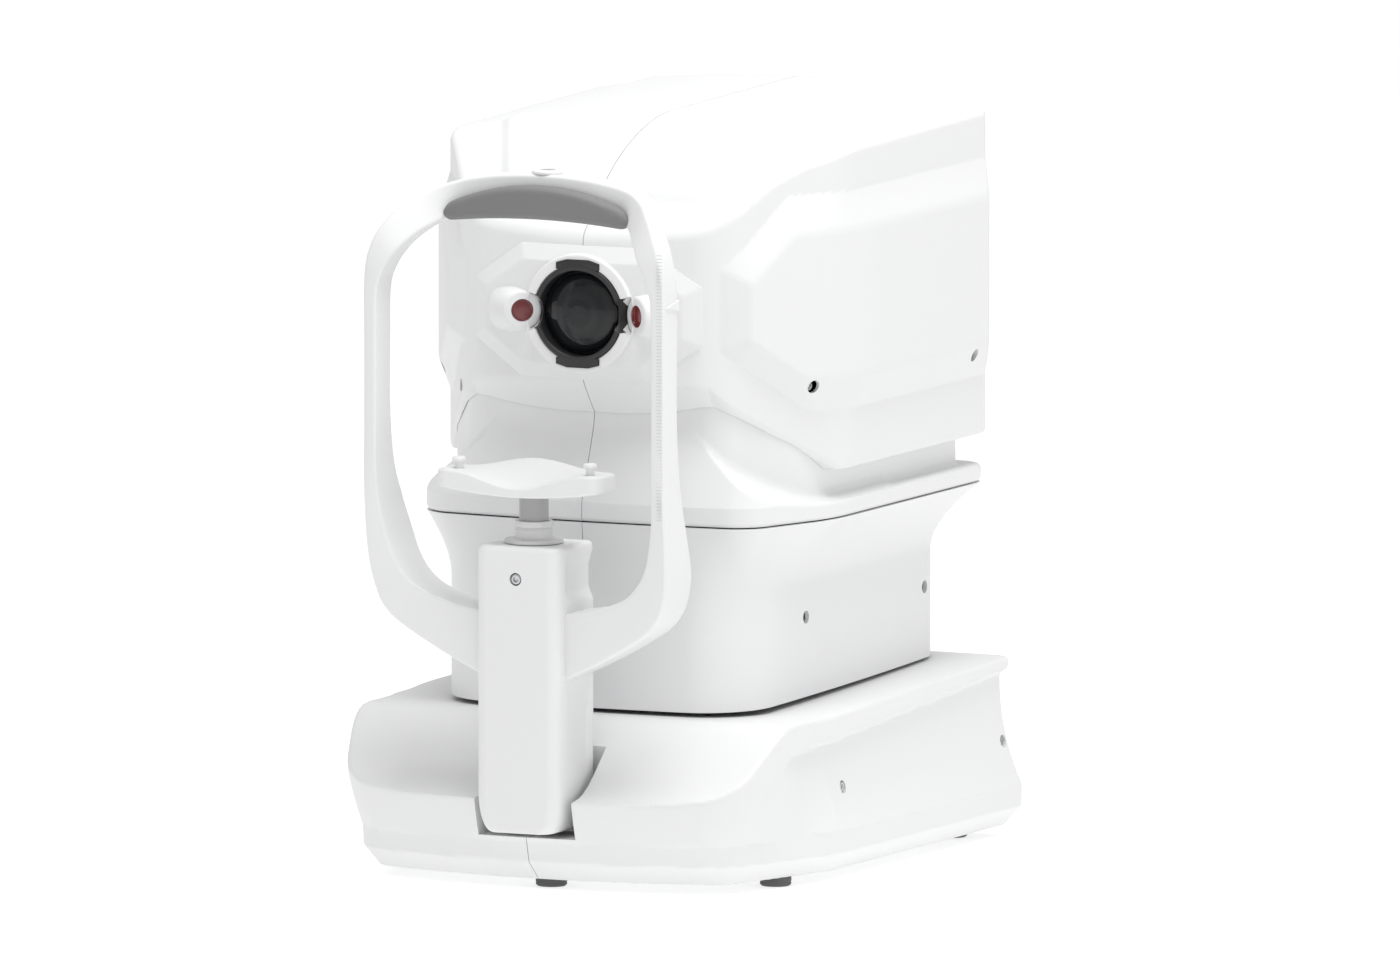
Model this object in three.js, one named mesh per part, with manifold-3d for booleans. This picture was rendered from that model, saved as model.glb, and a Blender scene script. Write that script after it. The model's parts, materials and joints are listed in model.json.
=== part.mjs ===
// Desktop eye scanner: a measuring head on a three-axis tower, on a base with a chin rest.
// Millimetres, +Z up. The patient sits on the -Y side. While modelling, y counts back from the toe of the
// base and z up from the table; the finished group is shifted so that its footprint is centred.
import * as THREE from 'three';
import { mergeVertices } from 'three/addons/utils/BufferGeometryUtils.js';
import Module from 'manifold-3d';

const wasm = await Module();
wasm.setup();

// ---------------------------------------------------------------- driving dimensions
const TOE_OFFSET = 178;        // from the toe of the base back to the middle of the footprint
const GAP = 0.35;              // clearance between pieces that touch on the real object
const WALL = 3;                // thickness of the moulded covers
const SEAM = 0.25;             // half the gap between left and right covers

const HEAD = {
  halfWidth: 143.5, front: 66, rear: 394, frontArc: 373,
  facetX: 92, facetY: 77, facetAngle: 59.4,       // the diagonal wall between front and side
  browZ: 422.5, browSlope: 0.8, topZ: 486.5, topSlope: 0.0124, topY: 178,
  chinZ: 326.5, bottomZ: 265, panelRise: 3, blister: 9,
};
const RIM = { front: 64, z0: 234.5, halfWidth: 144, rear: 391, frontArc: 900 };
const NECK = { halfWidth: 129, front: 84, rear: 379, top: 312 };
const TOWER = { halfWidth: 112, front: 68, rear: 390, bottomFront: 111.5, bottomRear: 119.5, corner: 40 };
const BASE = { bottomZ: 6.5, toe: -20, rear: 398, frontArc: 380 };
const STAGE = { deckZ: 109, halfX: 58, y0: 104, y1: 352, driveY: 227, driveZ: 119 };
const LENS = { z: 371.5, ringRadius: 39.3, bayonetRadius: 31.5, front: 57 };
const LAMP = { x: 41, y: 60.1, tilt: 35.5, podRadius: 13, bore: 7.4 };
const LAMP_SIDES = { left: -1, right: 1 };
const POST = { halfWidth: 30, y0: -37, y1: 22, z0: 40, z1: 228.5 };
const CHIN = { y: -8.6, shaftRadius: 9.6, trayHalf: 59.5, trayFront: -36, trayRear: -4, padHalf: 65 };

// ---------------------------------------------------------------- solids
function toManifold(geometry) {
  const bare = geometry.clone();
  bare.deleteAttribute('normal');
  bare.deleteAttribute('uv');
  const merged = mergeVertices(bare, 1e-4);
  return new wasm.Manifold(new wasm.Mesh({
    numProp: 3,
    vertProperties: new Float32Array(merged.attributes.position.array),
    triVerts: new Uint32Array(merged.index.array),
  }));
}

function toGeometry(solid) {
  const mesh = solid.getMesh();
  const geometry = new THREE.BufferGeometry();
  geometry.setAttribute('position', new THREE.BufferAttribute(new Float32Array(mesh.vertProperties), 3));
  geometry.setIndex(new THREE.BufferAttribute(new Uint32Array(mesh.triVerts), 1));
  geometry.computeVertexNormals();
  return geometry;
}

function box(x0, x1, y0, y1, z0, z1) {
  const geometry = new THREE.BoxGeometry(x1 - x0, y1 - y0, z1 - z0);
  geometry.translate((x0 + x1) / 2, (y0 + y1) / 2, (z0 + z1) / 2);
  return toManifold(geometry);
}

function mirroredBoxes(x0, x1, y0, y1, z0, z1) {
  return box(x0, x1, y0, y1, z0, z1).add(box(-x1, -x0, y0, y1, z0, z1));
}

// A round bar along 'x', 'y' or 'z' that starts at the given point.
function bar(axis, x, y, z, radius, length, sides = 24, endRadius = radius) {
  const geometry = new THREE.CylinderGeometry(endRadius, radius, length, sides);
  geometry.translate(0, length / 2, 0);
  if (axis === 'z') geometry.rotateX(Math.PI / 2);
  if (axis === 'x') geometry.rotateZ(-Math.PI / 2);
  geometry.translate(x, y, z);
  return toManifold(geometry);
}

// A turned piece: [radius, height] pairs along 'y' or 'z'.
function turned(axis, x, y, z, profile, sides = 32) {
  const points = profile.map(([radius, height]) => new THREE.Vector2(radius, height));
  const geometry = new THREE.LatheGeometry(points, sides);
  if (axis === 'z') geometry.rotateX(Math.PI / 2);
  geometry.translate(x, y, z);
  return toManifold(geometry);
}

// A plate cut from an outline in x and z, between two y planes.
function plateXZ(outline, y0, y1) {
  const shape = new THREE.Shape(outline.map(([x, z]) => new THREE.Vector2(x, z)));
  const geometry = new THREE.ExtrudeGeometry(shape, { depth: y1 - y0, bevelEnabled: false });
  geometry.rotateX(Math.PI / 2);
  geometry.translate(0, y1, 0);
  return toManifold(geometry);
}

function plateXY(outline, z0, z1) {
  const shape = new THREE.Shape(outline.map(([x, y]) => new THREE.Vector2(x, y)));
  const geometry = new THREE.ExtrudeGeometry(shape, { depth: z1 - z0, bevelEnabled: false });
  geometry.translate(0, 0, z0);
  return toManifold(geometry);
}

// Joins closed rings of equal length into a solid with flat ends.
function ringLoft(rings) {
  const count = rings[0].length;
  const points = rings.flat();
  const faces = [];
  for (let r = 0; r + 1 < rings.length; r += 1) {
    for (let i = 0; i < count; i += 1) {
      const j = (i + 1) % count;
      const [a, b] = [r * count + i, r * count + j];
      faces.push(a, b, b + count, a, b + count, a + count);
    }
  }
  const addCap = (ring, flip) => {
    const start = ring * count;
    const centre = points.length;
    const middle = new THREE.Vector3();
    rings[ring].forEach((point) => middle.add(point));
    points.push(middle.divideScalar(count));
    for (let i = 0; i < count; i += 1) {
      const j = (i + 1) % count;
      if (flip) faces.push(centre, start + j, start + i);
      else faces.push(centre, start + i, start + j);
    }
  };
  addCap(0, true);
  addCap(rings.length - 1, false);
  const geometry = new THREE.BufferGeometry();
  geometry.setAttribute('position', new THREE.BufferAttribute(
    new Float32Array(points.flatMap((p) => [p.x, p.y, p.z])), 3));
  geometry.setIndex(faces);
  return toManifold(geometry);
}

// ---------------------------------------------------------------- wall fields
// A field is negative inside a shape and grows about one per millimetre outwards.
const clamp01 = (t) => Math.min(Math.max(t, 0), 1);
const smooth = (t) => clamp01(t) ** 2 * (3 - 2 * clamp01(t));

function meet(a, b, r) {
  const [u, v] = [Math.max(r + a, 0), Math.max(r + b, 0)];
  return Math.min(-r, Math.max(a, b)) + Math.hypot(u, v);
}

const arcWall = (x, y, front, radius) => Math.hypot(x, y - front - radius) - radius;

function lineWall(ax, y, x0, y0, angle) {
  const a = THREE.MathUtils.degToRad(angle);
  return Math.sin(a) * (ax - x0) - Math.cos(a) * (y - y0);
}

function headPlan(x, y) {
  const ax = Math.abs(x);
  const front = arcWall(x, y, HEAD.front, HEAD.frontArc);
  const facet = lineWall(ax, y, HEAD.facetX, HEAD.facetY, HEAD.facetAngle);
  const nose = meet(y < 300 ? front : -50, facet, 13);
  return meet(meet(nose, ax - HEAD.halfWidth, 6), y - HEAD.rear, 20);
}

function blisterLayer(x, y, z, wall) {
  const lift = HEAD.blister;
  const bevel = (edge, width) => (edge + width * (wall / lift) - width) / Math.hypot(1, width / lift);
  const edges = [
    bevel(z - 424, 24), bevel(327 - z, 22), bevel(91 - y, 9), bevel(y - 366, 14),
    bevel(-0.725 * (y - 102) + 0.69 * (z - 404), 14),
    bevel(-0.6 * (y - 101) - 0.8 * (z - 348), 12),
  ];
  return edges.reduce((a, b) => meet(a, b, 3), wall - lift);
}

// Height of the head's lower edge: high over the chin, low along the sides and the rear.
function chinLine(x, y) {
  const ax = Math.abs(x);
  const swoop = Math.min(HEAD.chinZ - 0.05 * ax, 309.8 - 1.03 * (ax - 97.4));
  return y < 230 ? Math.max(swoop, HEAD.bottomZ) : HEAD.bottomZ;
}

function headField(x, y, z) {
  const ax = Math.abs(x);
  const plan = headPlan(x, y);
  const wall = Math.min(plan, blisterLayer(x, y, z, plan));
  const slope = (z - HEAD.browZ - HEAD.browSlope * (y - HEAD.front) + x * x / 3500) * 0.78;
  const top = z - HEAD.topZ - HEAD.topSlope * (y - HEAD.topY) + x * x / 1900;
  const panelHalf = 70.5 + 38.5 * clamp01((y - 96) / 82);
  const rise = HEAD.panelRise * smooth((Math.min(panelHalf - ax, y - 94) + 4) / 8);
  const hood = meet(slope, top, 30) - rise;
  const floor = chinLine(x, y) + 1.26 * Math.min(plan, 0);
  const bottom = (Math.max(floor, HEAD.bottomZ) - z) * 0.8;
  return meet(meet(wall, hood, 4), bottom, 3);
}

function rimPlan(x, y) {
  const ax = Math.abs(x);
  const front = arcWall(x, y, RIM.front, RIM.frontArc);
  const facet = lineWall(ax, y, 120, 78, 71);
  return meet(meet(meet(y < 300 ? front : -50, facet, 16), ax - RIM.halfWidth, 8), y - RIM.rear, 26);
}

function neckPlan(x, y) {
  const ax = Math.abs(x);
  const front = meet(NECK.front - y, lineWall(ax, y, 92, 88, 55), 10);
  return meet(meet(front, ax - NECK.halfWidth, 10), y - NECK.rear, 20);
}

function collarField(x, y, z) {
  const ax = Math.abs(x);
  const lean = Math.max(z - 247, 0) / 2.6 + Math.max(RIM.z0 + 2 - z, 0);
  const crest = 245 + 46 * Math.max((135 - ax) / 59, 0) ** 1.15;
  const apron = meet(rimPlan(x, y) + lean, (z - (y < 250 ? crest : 245)) * 0.7, 2);
  return Math.min(apron, neckPlan(x, y));
}

function towerField(x, y, z) {
  const ax = Math.abs(x);
  const bowed = ax + ((y - 230) / 160) ** 2 * 4 - 4;
  const walls = meet(meet(TOWER.front + x * x / 2400 - y, bowed - TOWER.halfWidth, TOWER.corner),
    y - TOWER.rear, TOWER.corner);
  const height = clamp01((z - 190) / 44);
  const flare = rimPlan(x, y);
  const spread = height ** 1.7;
  return walls * (1 - spread) + flare * spread;
}

const deckZ = (y) => 62 + 46.5 * smooth((y + 20) / 80) + 9 * clamp01((y - 110) / 280);

// The front swells above the skirt; the sides are pinched in up to a raised band under the deck.
function baseField(x, y, z) {
  const ax = Math.abs(x);
  const chamfer = Math.max(19.5 - z, 0) * 0.92;
  const flare = 9.5 * (1 - (1 - clamp01((z - 33) / 40)) ** 1.4) * (1 - smooth((y - 40) / 90));
  const toe = BASE.toe + Math.max(34 - z, 0) * 0.25;
  const front = (y < 200 ? arcWall(x, y, toe, BASE.frontArc) : -50) - flare;
  const facet = lineWall(ax, y, 137, 18, 73) - flare;
  const band = 66.5 + 20.5 * smooth((y - 17) / 57) + 0.0615 * Math.max(y - 74, 0);
  const pinch = 1 - (1 - clamp01((z - 34) / (band - 34))) ** 2.2;
  const taper = (13 * pinch - 5 * smooth((z - band) / 5)) * smooth((y - 30) / 60);
  const side = meet(facet, ax - 166, 4) + taper;
  return meet(meet(front, side, 16), y - BASE.rear + taper * 0.5, 14) + chamfer;
}

// Directions from the middle of a shape to points spread round its outline.
function directions(halfWidth, y0, y1, nFront, nSide) {
  const middle = (y0 + y1) / 2;
  const half = (y1 - y0) / 2;
  const list = [];
  const push = (x, y) => list.push([x, y]);
  for (let i = 0; i < nFront; i += 1) push(-halfWidth + 2 * halfWidth * (i / nFront), -half);
  for (let i = 0; i < nSide; i += 1) push(halfWidth, -half + 2 * half * (i / nSide));
  for (let i = 0; i < nFront; i += 1) push(halfWidth - 2 * halfWidth * (i / nFront), half);
  for (let i = 0; i < nSide; i += 1) push(-halfWidth, half - 2 * half * (i / nSide));
  return { middle, list };
}

// Stacks horizontal outlines of a field; inset moves the surface inwards.
function fieldSolid(field, levels, spread, inset = 0, base = null) {
  const rings = levels.map((level) => spread.list.map(([dx, dy]) => {
    let [low, high] = [0, 2.2];
    for (let step = 0; step < 34; step += 1) {
      const t = (low + high) / 2;
      const [x, y] = [dx * t, spread.middle + dy * t];
      if (field(x, y, base ? base(level, x, y) : level) + inset < 0) low = t;
      else high = t;
    }
    const [x, y] = [dx * low, spread.middle + dy * low];
    return new THREE.Vector3(x, y, base ? base(level, x, y) : level);
  }));
  return ringLoft(rings);
}

const halfSpace = {
  left: box(-400, -SEAM, -300, 700, -50, 800),
  right: box(SEAM, 400, -300, 700, -50, 800),
};

// ---------------------------------------------------------------- materials
const finish = {
  shell: { color: 0xeceded, roughness: 0.45, metalness: 0 },
  white_trim: { color: 0xf2f2f0, roughness: 0.35, metalness: 0 },
  black_trim: { color: 0x121214, roughness: 0.5, metalness: 0 },
  pad: { color: 0x6b6c6e, roughness: 0.8, metalness: 0 },
  steel: { color: 0xb9bbbd, roughness: 0.3, metalness: 1 },
  aluminium: { color: 0xc9cbcd, roughness: 0.4, metalness: 1 },
  rubber: { color: 0x232326, roughness: 0.85, metalness: 0 },
  lens_glass: { color: 0x11131a, roughness: 0.05, metalness: 0 },
  lamp_window: { color: 0x5e171b, roughness: 0.15, metalness: 0 },
  motor_black: { color: 0x2a2b2e, roughness: 0.55, metalness: 0.2 },
  board: { color: 0x1f5c37, roughness: 0.6, metalness: 0 },
};

const model = new THREE.Group();
model.position.y = -TOE_OFFSET;

function add(name, solid, slot) {
  const mesh = new THREE.Mesh(toGeometry(solid), new THREE.MeshStandardMaterial(finish[slot]));
  mesh.name = name;
  model.add(mesh);
}

function addHalves(name, solid, slot) {
  add(`${name}_left`, solid.intersect(halfSpace.left), slot);
  add(`${name}_right`, solid.intersect(halfSpace.right), slot);
}

// ---------------------------------------------------------------- base
function buildBase() {
  const spread = directions(160, 0, 380, 14, 12);
  const follow = (level, x, y) => Math.min(level, deckZ(y));
  const outerLevels = [BASE.bottomZ, 19.5, 34, 42, 50, 62, 70, 79, 87, 95, 103, 111, 118];
  const outer = fieldSolid(baseField, outerLevels, spread, 0, follow);
  const innerFollow = (level, x, y) => Math.min(level, deckZ(y) - WALL);
  const innerLevels = [BASE.bottomZ - 1, 19.5, 34, 42, 50, 62, 70, 79, 87, 95, 103, 115];
  const inner = fieldSolid(baseField, innerLevels, spread, WALL, innerFollow);
  const recess = box(-35, 35, -60, 28, 36, 200);
  const recessWall = box(-35 - WALL, 35 + WALL, -60, 28 + WALL, 36 - WALL, 200)
    .intersect(outer);
  const stageHole = box(-STAGE.halfX - 4, STAGE.halfX + 4, STAGE.y0 - 4, STAGE.y1 + 4, 60, 200);
  const bossHole = bar('z', 0, 8, 20, 9 + GAP, 30);
  const inletHole = box(-112, -60, 380, 420, 24, 60);
  const screwHoles = bar('x', 120, 104, 60, 4.3, 60, 12).add(bar('x', -180, 104, 60, 4.3, 60, 12));
  const cover = outer.subtract(inner).add(recessWall).subtract(recess).subtract(stageHole)
    .subtract(bossHole).subtract(inletHole).subtract(screwHoles);
  addHalves('base_cover', cover, 'shell');

  const plate = fieldSolid(baseField, [BASE.bottomZ, 17], spread, WALL + 1);
  const pedestal = box(-STAGE.halfX, STAGE.halfX, STAGE.y0, STAGE.y1, 12, STAGE.deckZ);
  const hollow = box(-STAGE.halfX + 8, STAGE.halfX - 8, STAGE.y0 + 8, STAGE.y1 - 8, 17, STAGE.deckZ - 8);
  const wiringHole = box(-20, 20, STAGE.y1 - 20, STAGE.y1 + 5, 40, 70);
  const boss = bar('z', 0, 8, 12, 9, POST.z0 - GAP - 12);
  const motorNotch = box(-70, -49, STAGE.driveY - 14, STAGE.driveY + 14, STAGE.driveZ - 14, 140);
  const frame = plate.add(pedestal).subtract(hollow).subtract(wiringHole).subtract(motorNotch).add(boss);
  add('base_frame', frame, 'aluminium');

  const feet = {
    front: [0, 18], right: [132, 81], left: [-132, 81], rear_left: [-128, 360], rear_right: [128, 360],
  };
  for (const [name, [x, y]] of Object.entries(feet)) {
    const profile = [[0, 0], [9.2, 0], [10.4, 1.2], [10.4, 6.1], [0, 6.1]];
    add(`foot_${name}`, turned('z', x, y, 0, profile, 24), 'rubber');
  }
  add('power_supply', box(-130, -68, 170, 340, 20, 62), 'aluminium');
  add('main_board', box(72, 132, 130, 330, 26, 28.4).add(box(82, 122, 150, 200, 28, 40)), 'board');
  const inlet = box(-111.5, -60.5, 388, 400, 26, 58).subtract(box(-108, -88, 392, 402, 33, 51))
    .subtract(box(-79, -65, 380, 402, 31, 53));
  add('power_inlet', inlet, 'black_trim');
  add('power_switch', plateRocker(), 'black_trim');
}

// A rocker with two faces that meet at a shallow angle; it turns about its middle.
function plateRocker() {
  const outline = [
    [391, 32.4], [399, 32.4], [401.6, 33.2], [399.6, 42], [401.6, 50.8], [399, 51.6], [391, 51.6],
  ];
  const shape = new THREE.Shape(outline.map(([y, z]) => new THREE.Vector2(y, z)));
  const geometry = new THREE.ExtrudeGeometry(shape, { depth: 12.6, bevelEnabled: false });
  const toPlace = new THREE.Matrix4().makeBasis(
    new THREE.Vector3(0, 1, 0), new THREE.Vector3(0, 0, 1), new THREE.Vector3(1, 0, 0));
  geometry.applyMatrix4(toPlace);
  geometry.translate(-78.3, 0, 0);
  return toManifold(geometry);
}

// ---------------------------------------------------------------- travel stages
// A rail with a dovetail-like waist, along x or y.
function rail(axis, at, from, to, z, height) {
  const [w, waist] = [9, 6];
  if (axis === 'x') {
    return box(from, to, at - w, at + w, z, z + height * 0.45)
      .add(box(from, to, at - waist, at + waist, z, z + height * 0.7))
      .add(box(from, to, at - w + 1, at + w - 1, z + height * 0.65, z + height));
  }
  return box(at - w, at + w, from, to, z, z + height * 0.45)
    .add(box(at - waist, at + waist, from, to, z, z + height * 0.7))
    .add(box(at - w + 1, at + w - 1, from, to, z + height * 0.65, z + height));
}

function stepper(x, y, z, size, length, axis) {
  const half = size / 2;
  const c = half - 4;
  const outline = [
    [-c, -half], [c, -half], [half, -c], [half, c], [c, half], [-c, half], [-half, c], [-half, -c],
  ];
  const shape = new THREE.Shape(outline.map(([u, v]) => new THREE.Vector2(u, v)));
  const geometry = new THREE.ExtrudeGeometry(shape, { depth: length, bevelEnabled: false });
  if (axis === 'x') geometry.rotateY(Math.PI / 2);
  if (axis === 'y') geometry.rotateX(-Math.PI / 2);
  geometry.translate(x, y, z);
  return toManifold(geometry);
}

const SCREW_RADIUS = 3;
const Z_AXIS_Y = 340;          // line of the guide rods and the height screw
const Y_DRIVE_Z = 153.35;      // height of the front-back screw

function buildStages() {
  const deck = STAGE.deckZ + GAP;
  const { driveY, driveZ } = STAGE;
  add('x_rail_front', rail('x', 132, -STAGE.halfX, STAGE.halfX, deck, 9), 'steel');
  add('x_rail_rear', rail('x', 322, -STAGE.halfX, STAGE.halfX, deck, 9), 'steel');
  const xMotor = stepper(-61.5, driveY, driveZ, 24, 11.5, 'x')
    .subtract(bar('x', -56, driveY, driveZ, 3.6, 20, 16));
  add('x_motor', xMotor, 'motor_black');
  add('x_screw', bar('x', -55, driveY, driveZ, SCREW_RADIUS, 110, 12), 'steel');

  const crossZ = deck + 9 + GAP;
  const webs = mirroredBoxes(7, 12, 112, 180, crossZ + 3, 136)
    .add(mirroredBoxes(7, 12, 274, 342, crossZ + 3, 136));
  const windows = mirroredBoxes(24, 70, 150, 300, 130, 150);
  const cross = box(-13, 13, 112, 342, crossZ, crossZ + 6)
    .subtract(box(-20, 20, driveY - 16, driveY + 16, crossZ - 5, crossZ + 10))
    .add(box(-4, 4, driveY - 10, driveY + 10, 112, 135))
    .subtract(bar('x', -20, driveY, driveZ, SCREW_RADIUS + 0.3, 40, 12))
    .add(box(-98, 98, 112, 342, 134, 139).subtract(windows))
    .add(webs);
  add('cross_plate', cross, 'aluminium');
  const railZ = 139 + GAP;
  add('y_rail_left', rail('y', -84, 120, 334, railZ, 9), 'steel');
  add('y_rail_right', rail('y', 84, 120, 334, railZ, 9), 'steel');
  const yMotor = stepper(0, 262, Y_DRIVE_Z, 28, 34, 'y').subtract(bar('y', 0, 252, Y_DRIVE_Z, 4.5, 32, 16));
  add('y_motor', yMotor, 'motor_black');
  add('y_screw', bar('y', 0, 178, Y_DRIVE_Z, SCREW_RADIUS, 104, 12), 'steel');

  const plateZ = railZ + 9 + GAP;
  const plateTop = plateZ + 7;
  const tower = box(-100, 100, 96, 364, plateZ, plateTop)
    .subtract(box(-22, 22, 238, 318, 140, 165))
    .subtract(box(-5, 5, 150, 250, 140, 165))
    .add(box(-12, 12, 222, 234, 142, 163))
    .subtract(bar('y', 0, 215, Y_DRIVE_Z, SCREW_RADIUS + 0.3, 30, 12))
    .add(box(-70, 70, 359, 365, plateZ, 232))
    .subtract(box(-40, 40, 350, 370, 170, 215));
  add('tower_plate', tower, 'aluminium');
  for (const [side, x] of [['left', -52], ['right', 52]]) {
    add(`z_rod_${side}`, bar('z', x, Z_AXIS_Y, plateTop + GAP, 7, 134, 20), 'steel');
  }
  const zMotor = stepper(0, Z_AXIS_Y, plateTop + GAP, 34, 30, 'z')
    .subtract(bar('z', 0, Z_AXIS_Y, 172, 5, 40, 16));
  add('z_motor', zMotor, 'motor_black');
  add('z_screw', bar('z', 0, Z_AXIS_Y, 174, 4, 124, 12), 'steel');
}

// ---------------------------------------------------------------- tower, collar and head covers
function buildCovers() {
  const spread = directions(112, 68, 390, 12, 10);
  const tilt = (TOWER.bottomRear - TOWER.bottomFront) / (TOWER.rear - TOWER.front);
  const bottom = (level, x, y) => (level < 120 ? TOWER.bottomFront + (y - TOWER.front) * tilt : level);
  const outer = fieldSolid(towerField, [112, 190, 203, 214, 224, 233.6], spread, 0, bottom);
  const inner = fieldSolid(towerField, [100, 190, 208, 224, 236], spread, WALL);
  const towerHoles = bar('x', 80, 190, 160, 4.3, 60, 12).add(bar('x', -140, 190, 160, 4.3, 60, 12));
  addHalves('tower_cover', outer.subtract(inner).subtract(towerHoles), 'shell');

  const wide = directions(135, 64, 391, 16, 12);
  const collarLevels = [RIM.z0, 237, 243, 245, 248, 256, 266, 276, 286, NECK.top];
  const collarOuter = fieldSolid(collarField, collarLevels, wide);
  const collarInner = fieldSolid(collarField, [RIM.z0 - 2, 240, 262, NECK.top + 2], wide, WALL + 10)
    .add(fieldSolid(neckPlan, [RIM.z0 - 3, NECK.top + 3], wide, WALL));
  addHalves('collar_cover', collarOuter.subtract(collarInner), 'shell');

  const skirtPlan = (x, y) => meet(meet(90 - y, Math.abs(x) - 104, 34), y - 374, 34);
  const sleeve = fieldSolid(skirtPlan, [186, 262], spread)
    .subtract(fieldSolid(skirtPlan, [180, 270], spread, 2.5));
  add('neck_skirt', sleeve, 'black_trim');

  const big = directions(143.5, 66, 394, 14, 13);
  const headLevels = [265.5, 272, 283, 296, 308, 318, 328, 346, 372, 400,
    422, 434, 448, 462, 473, 481, 487, 490.5];
  const overChin = (level, x, y) => Math.max(level, chinLine(x, y) + 0.4);
  const headOuter = fieldSolid(headField, headLevels, big, 0, overChin);
  const headInner = fieldSolid((x, y, z) => Math.max(headField(x, y, z + WALL), headField(x, y, z)),
    [260, 290, 310, 330, 420, 440, 462, 476, 484], big, WALL);
  const neckHole = fieldSolid(neckPlan, [250, 340], wide, -GAP);
  const apronHole = box(-110, 110, 70, 140, 250, 318)
    .intersect(fieldSolid(collarField, [240, 256, 266, 276, 286, 320], wide, -0.6));
  const lensHole = bar('y', 0, 40, LENS.z, 42, 60, 40);
  const lampHoles = lampBars(-20, 9, 60);
  const head = headOuter.subtract(headInner).subtract(neckHole).subtract(apronHole)
    .subtract(lensHole).subtract(lampHoles);
  addHalves('head_cover', head, 'shell');
}

// ---------------------------------------------------------------- lens group
// A round bar on each lamp's axis; the axes cross in front of the lens. It starts behind the pod's face.
function lampBar(side, from, radius, length, endRadius = radius) {
  const geometry = new THREE.CylinderGeometry(endRadius, radius, length, 24);
  geometry.translate(0, from + length / 2, 0);
  geometry.rotateZ(-side * THREE.MathUtils.degToRad(LAMP.tilt));
  geometry.translate(side * LAMP.x, LAMP.y, LENS.z);
  return toManifold(geometry);
}

function lampBars(from, radius, length, endRadius = radius) {
  return lampBar(-1, from, radius, length, endRadius).add(lampBar(1, from, radius, length, endRadius));
}

const octagon = (halfWidth, halfHeight, flat, tall) => [
  [-flat, -halfHeight], [flat, -halfHeight], [halfWidth, -tall], [halfWidth, tall],
  [flat, halfHeight], [-flat, halfHeight], [-halfWidth, tall], [-halfWidth, -tall],
].map(([x, z]) => [x, z + LENS.z]);

function buildLens() {
  const wall = bar('z', 0, HEAD.front + HEAD.frontArc, LENS.z - 80, HEAD.frontArc + GAP, 160, 240);
  const face = bar('z', 0, 60.7 + HEAD.frontArc, LENS.z - 80, HEAD.frontArc, 160, 240);
  const plate = plateXZ(octagon(81.5, 44, 45, 19.5), 57, 80).intersect(face).subtract(wall)
    .subtract(bar('y', 0, 30, LENS.z, LENS.ringRadius + GAP, 80, 48));
  const pods = lampBars(0, LAMP.podRadius, 19, 20).subtract(wall)
    .subtract(bar('y', 0, 30, LENS.z, LENS.bayonetRadius, 80, 48));
  add('nose_plate', plate.add(pods).subtract(lampBars(-10, LAMP.bore, 60)), 'shell');
  for (const [name, side] of Object.entries(LAMP_SIDES)) {
    add(`lamp_window_${name}`, lampBar(side, 0.8, LAMP.bore - 0.4, 12), 'lamp_window');
  }
  const notches = lampBars(-16, LAMP.podRadius + GAP, 16).add(lampBars(0, LAMP.podRadius + GAP, 30, 24.5));
  const ring = bar('y', 0, LENS.front + 1, LENS.z, LENS.ringRadius, 40, 40)
    .subtract(bar('y', 0, 0, LENS.z, 35.8, 200, 40)).subtract(notches);
  add('objective_ring', ring, 'white_trim');
  let bayonet = bar('y', 0, LENS.front, LENS.z, LENS.bayonetRadius + 1.6, 14, 40)
    .add(bar('y', 0, LENS.front + 8, LENS.z, 35.4, 22, 40));
  for (let i = 0; i < 4; i += 1) {
    const angle = i * Math.PI / 2;
    const tab = new THREE.BoxGeometry(31, 4, 8);
    tab.translate(0, LENS.front + 2, 31);
    tab.rotateY(angle);
    tab.translate(0, 0, LENS.z);
    bayonet = bayonet.add(toManifold(tab));
  }
  bayonet = bayonet.intersect(bar('y', 0, 0, LENS.z, 35.4, 200, 40))
    .subtract(bar('y', 0, 0, LENS.z, 28.2, 200, 40)).subtract(notches);
  add('bayonet_ring', bayonet, 'black_trim');
  const lensProfile = [[0, 0], [10, 0.5], [20, 2.1], [28 - GAP, 4.4], [28 - GAP, 11], [0, 15]];
  add('objective_lens', turned('y', 0, LENS.front + 6, LENS.z, lensProfile, 32), 'lens_glass');
  const barrel = bar('y', 0, 98.4, LENS.z, 37, 72, 32).add(bar('y', 0, 88, LENS.z, 33, 12, 32))
    .subtract(bar('y', 0, 80, LENS.z, 27, 120, 32));
  add('objective_barrel', barrel, 'aluminium');
}

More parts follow.
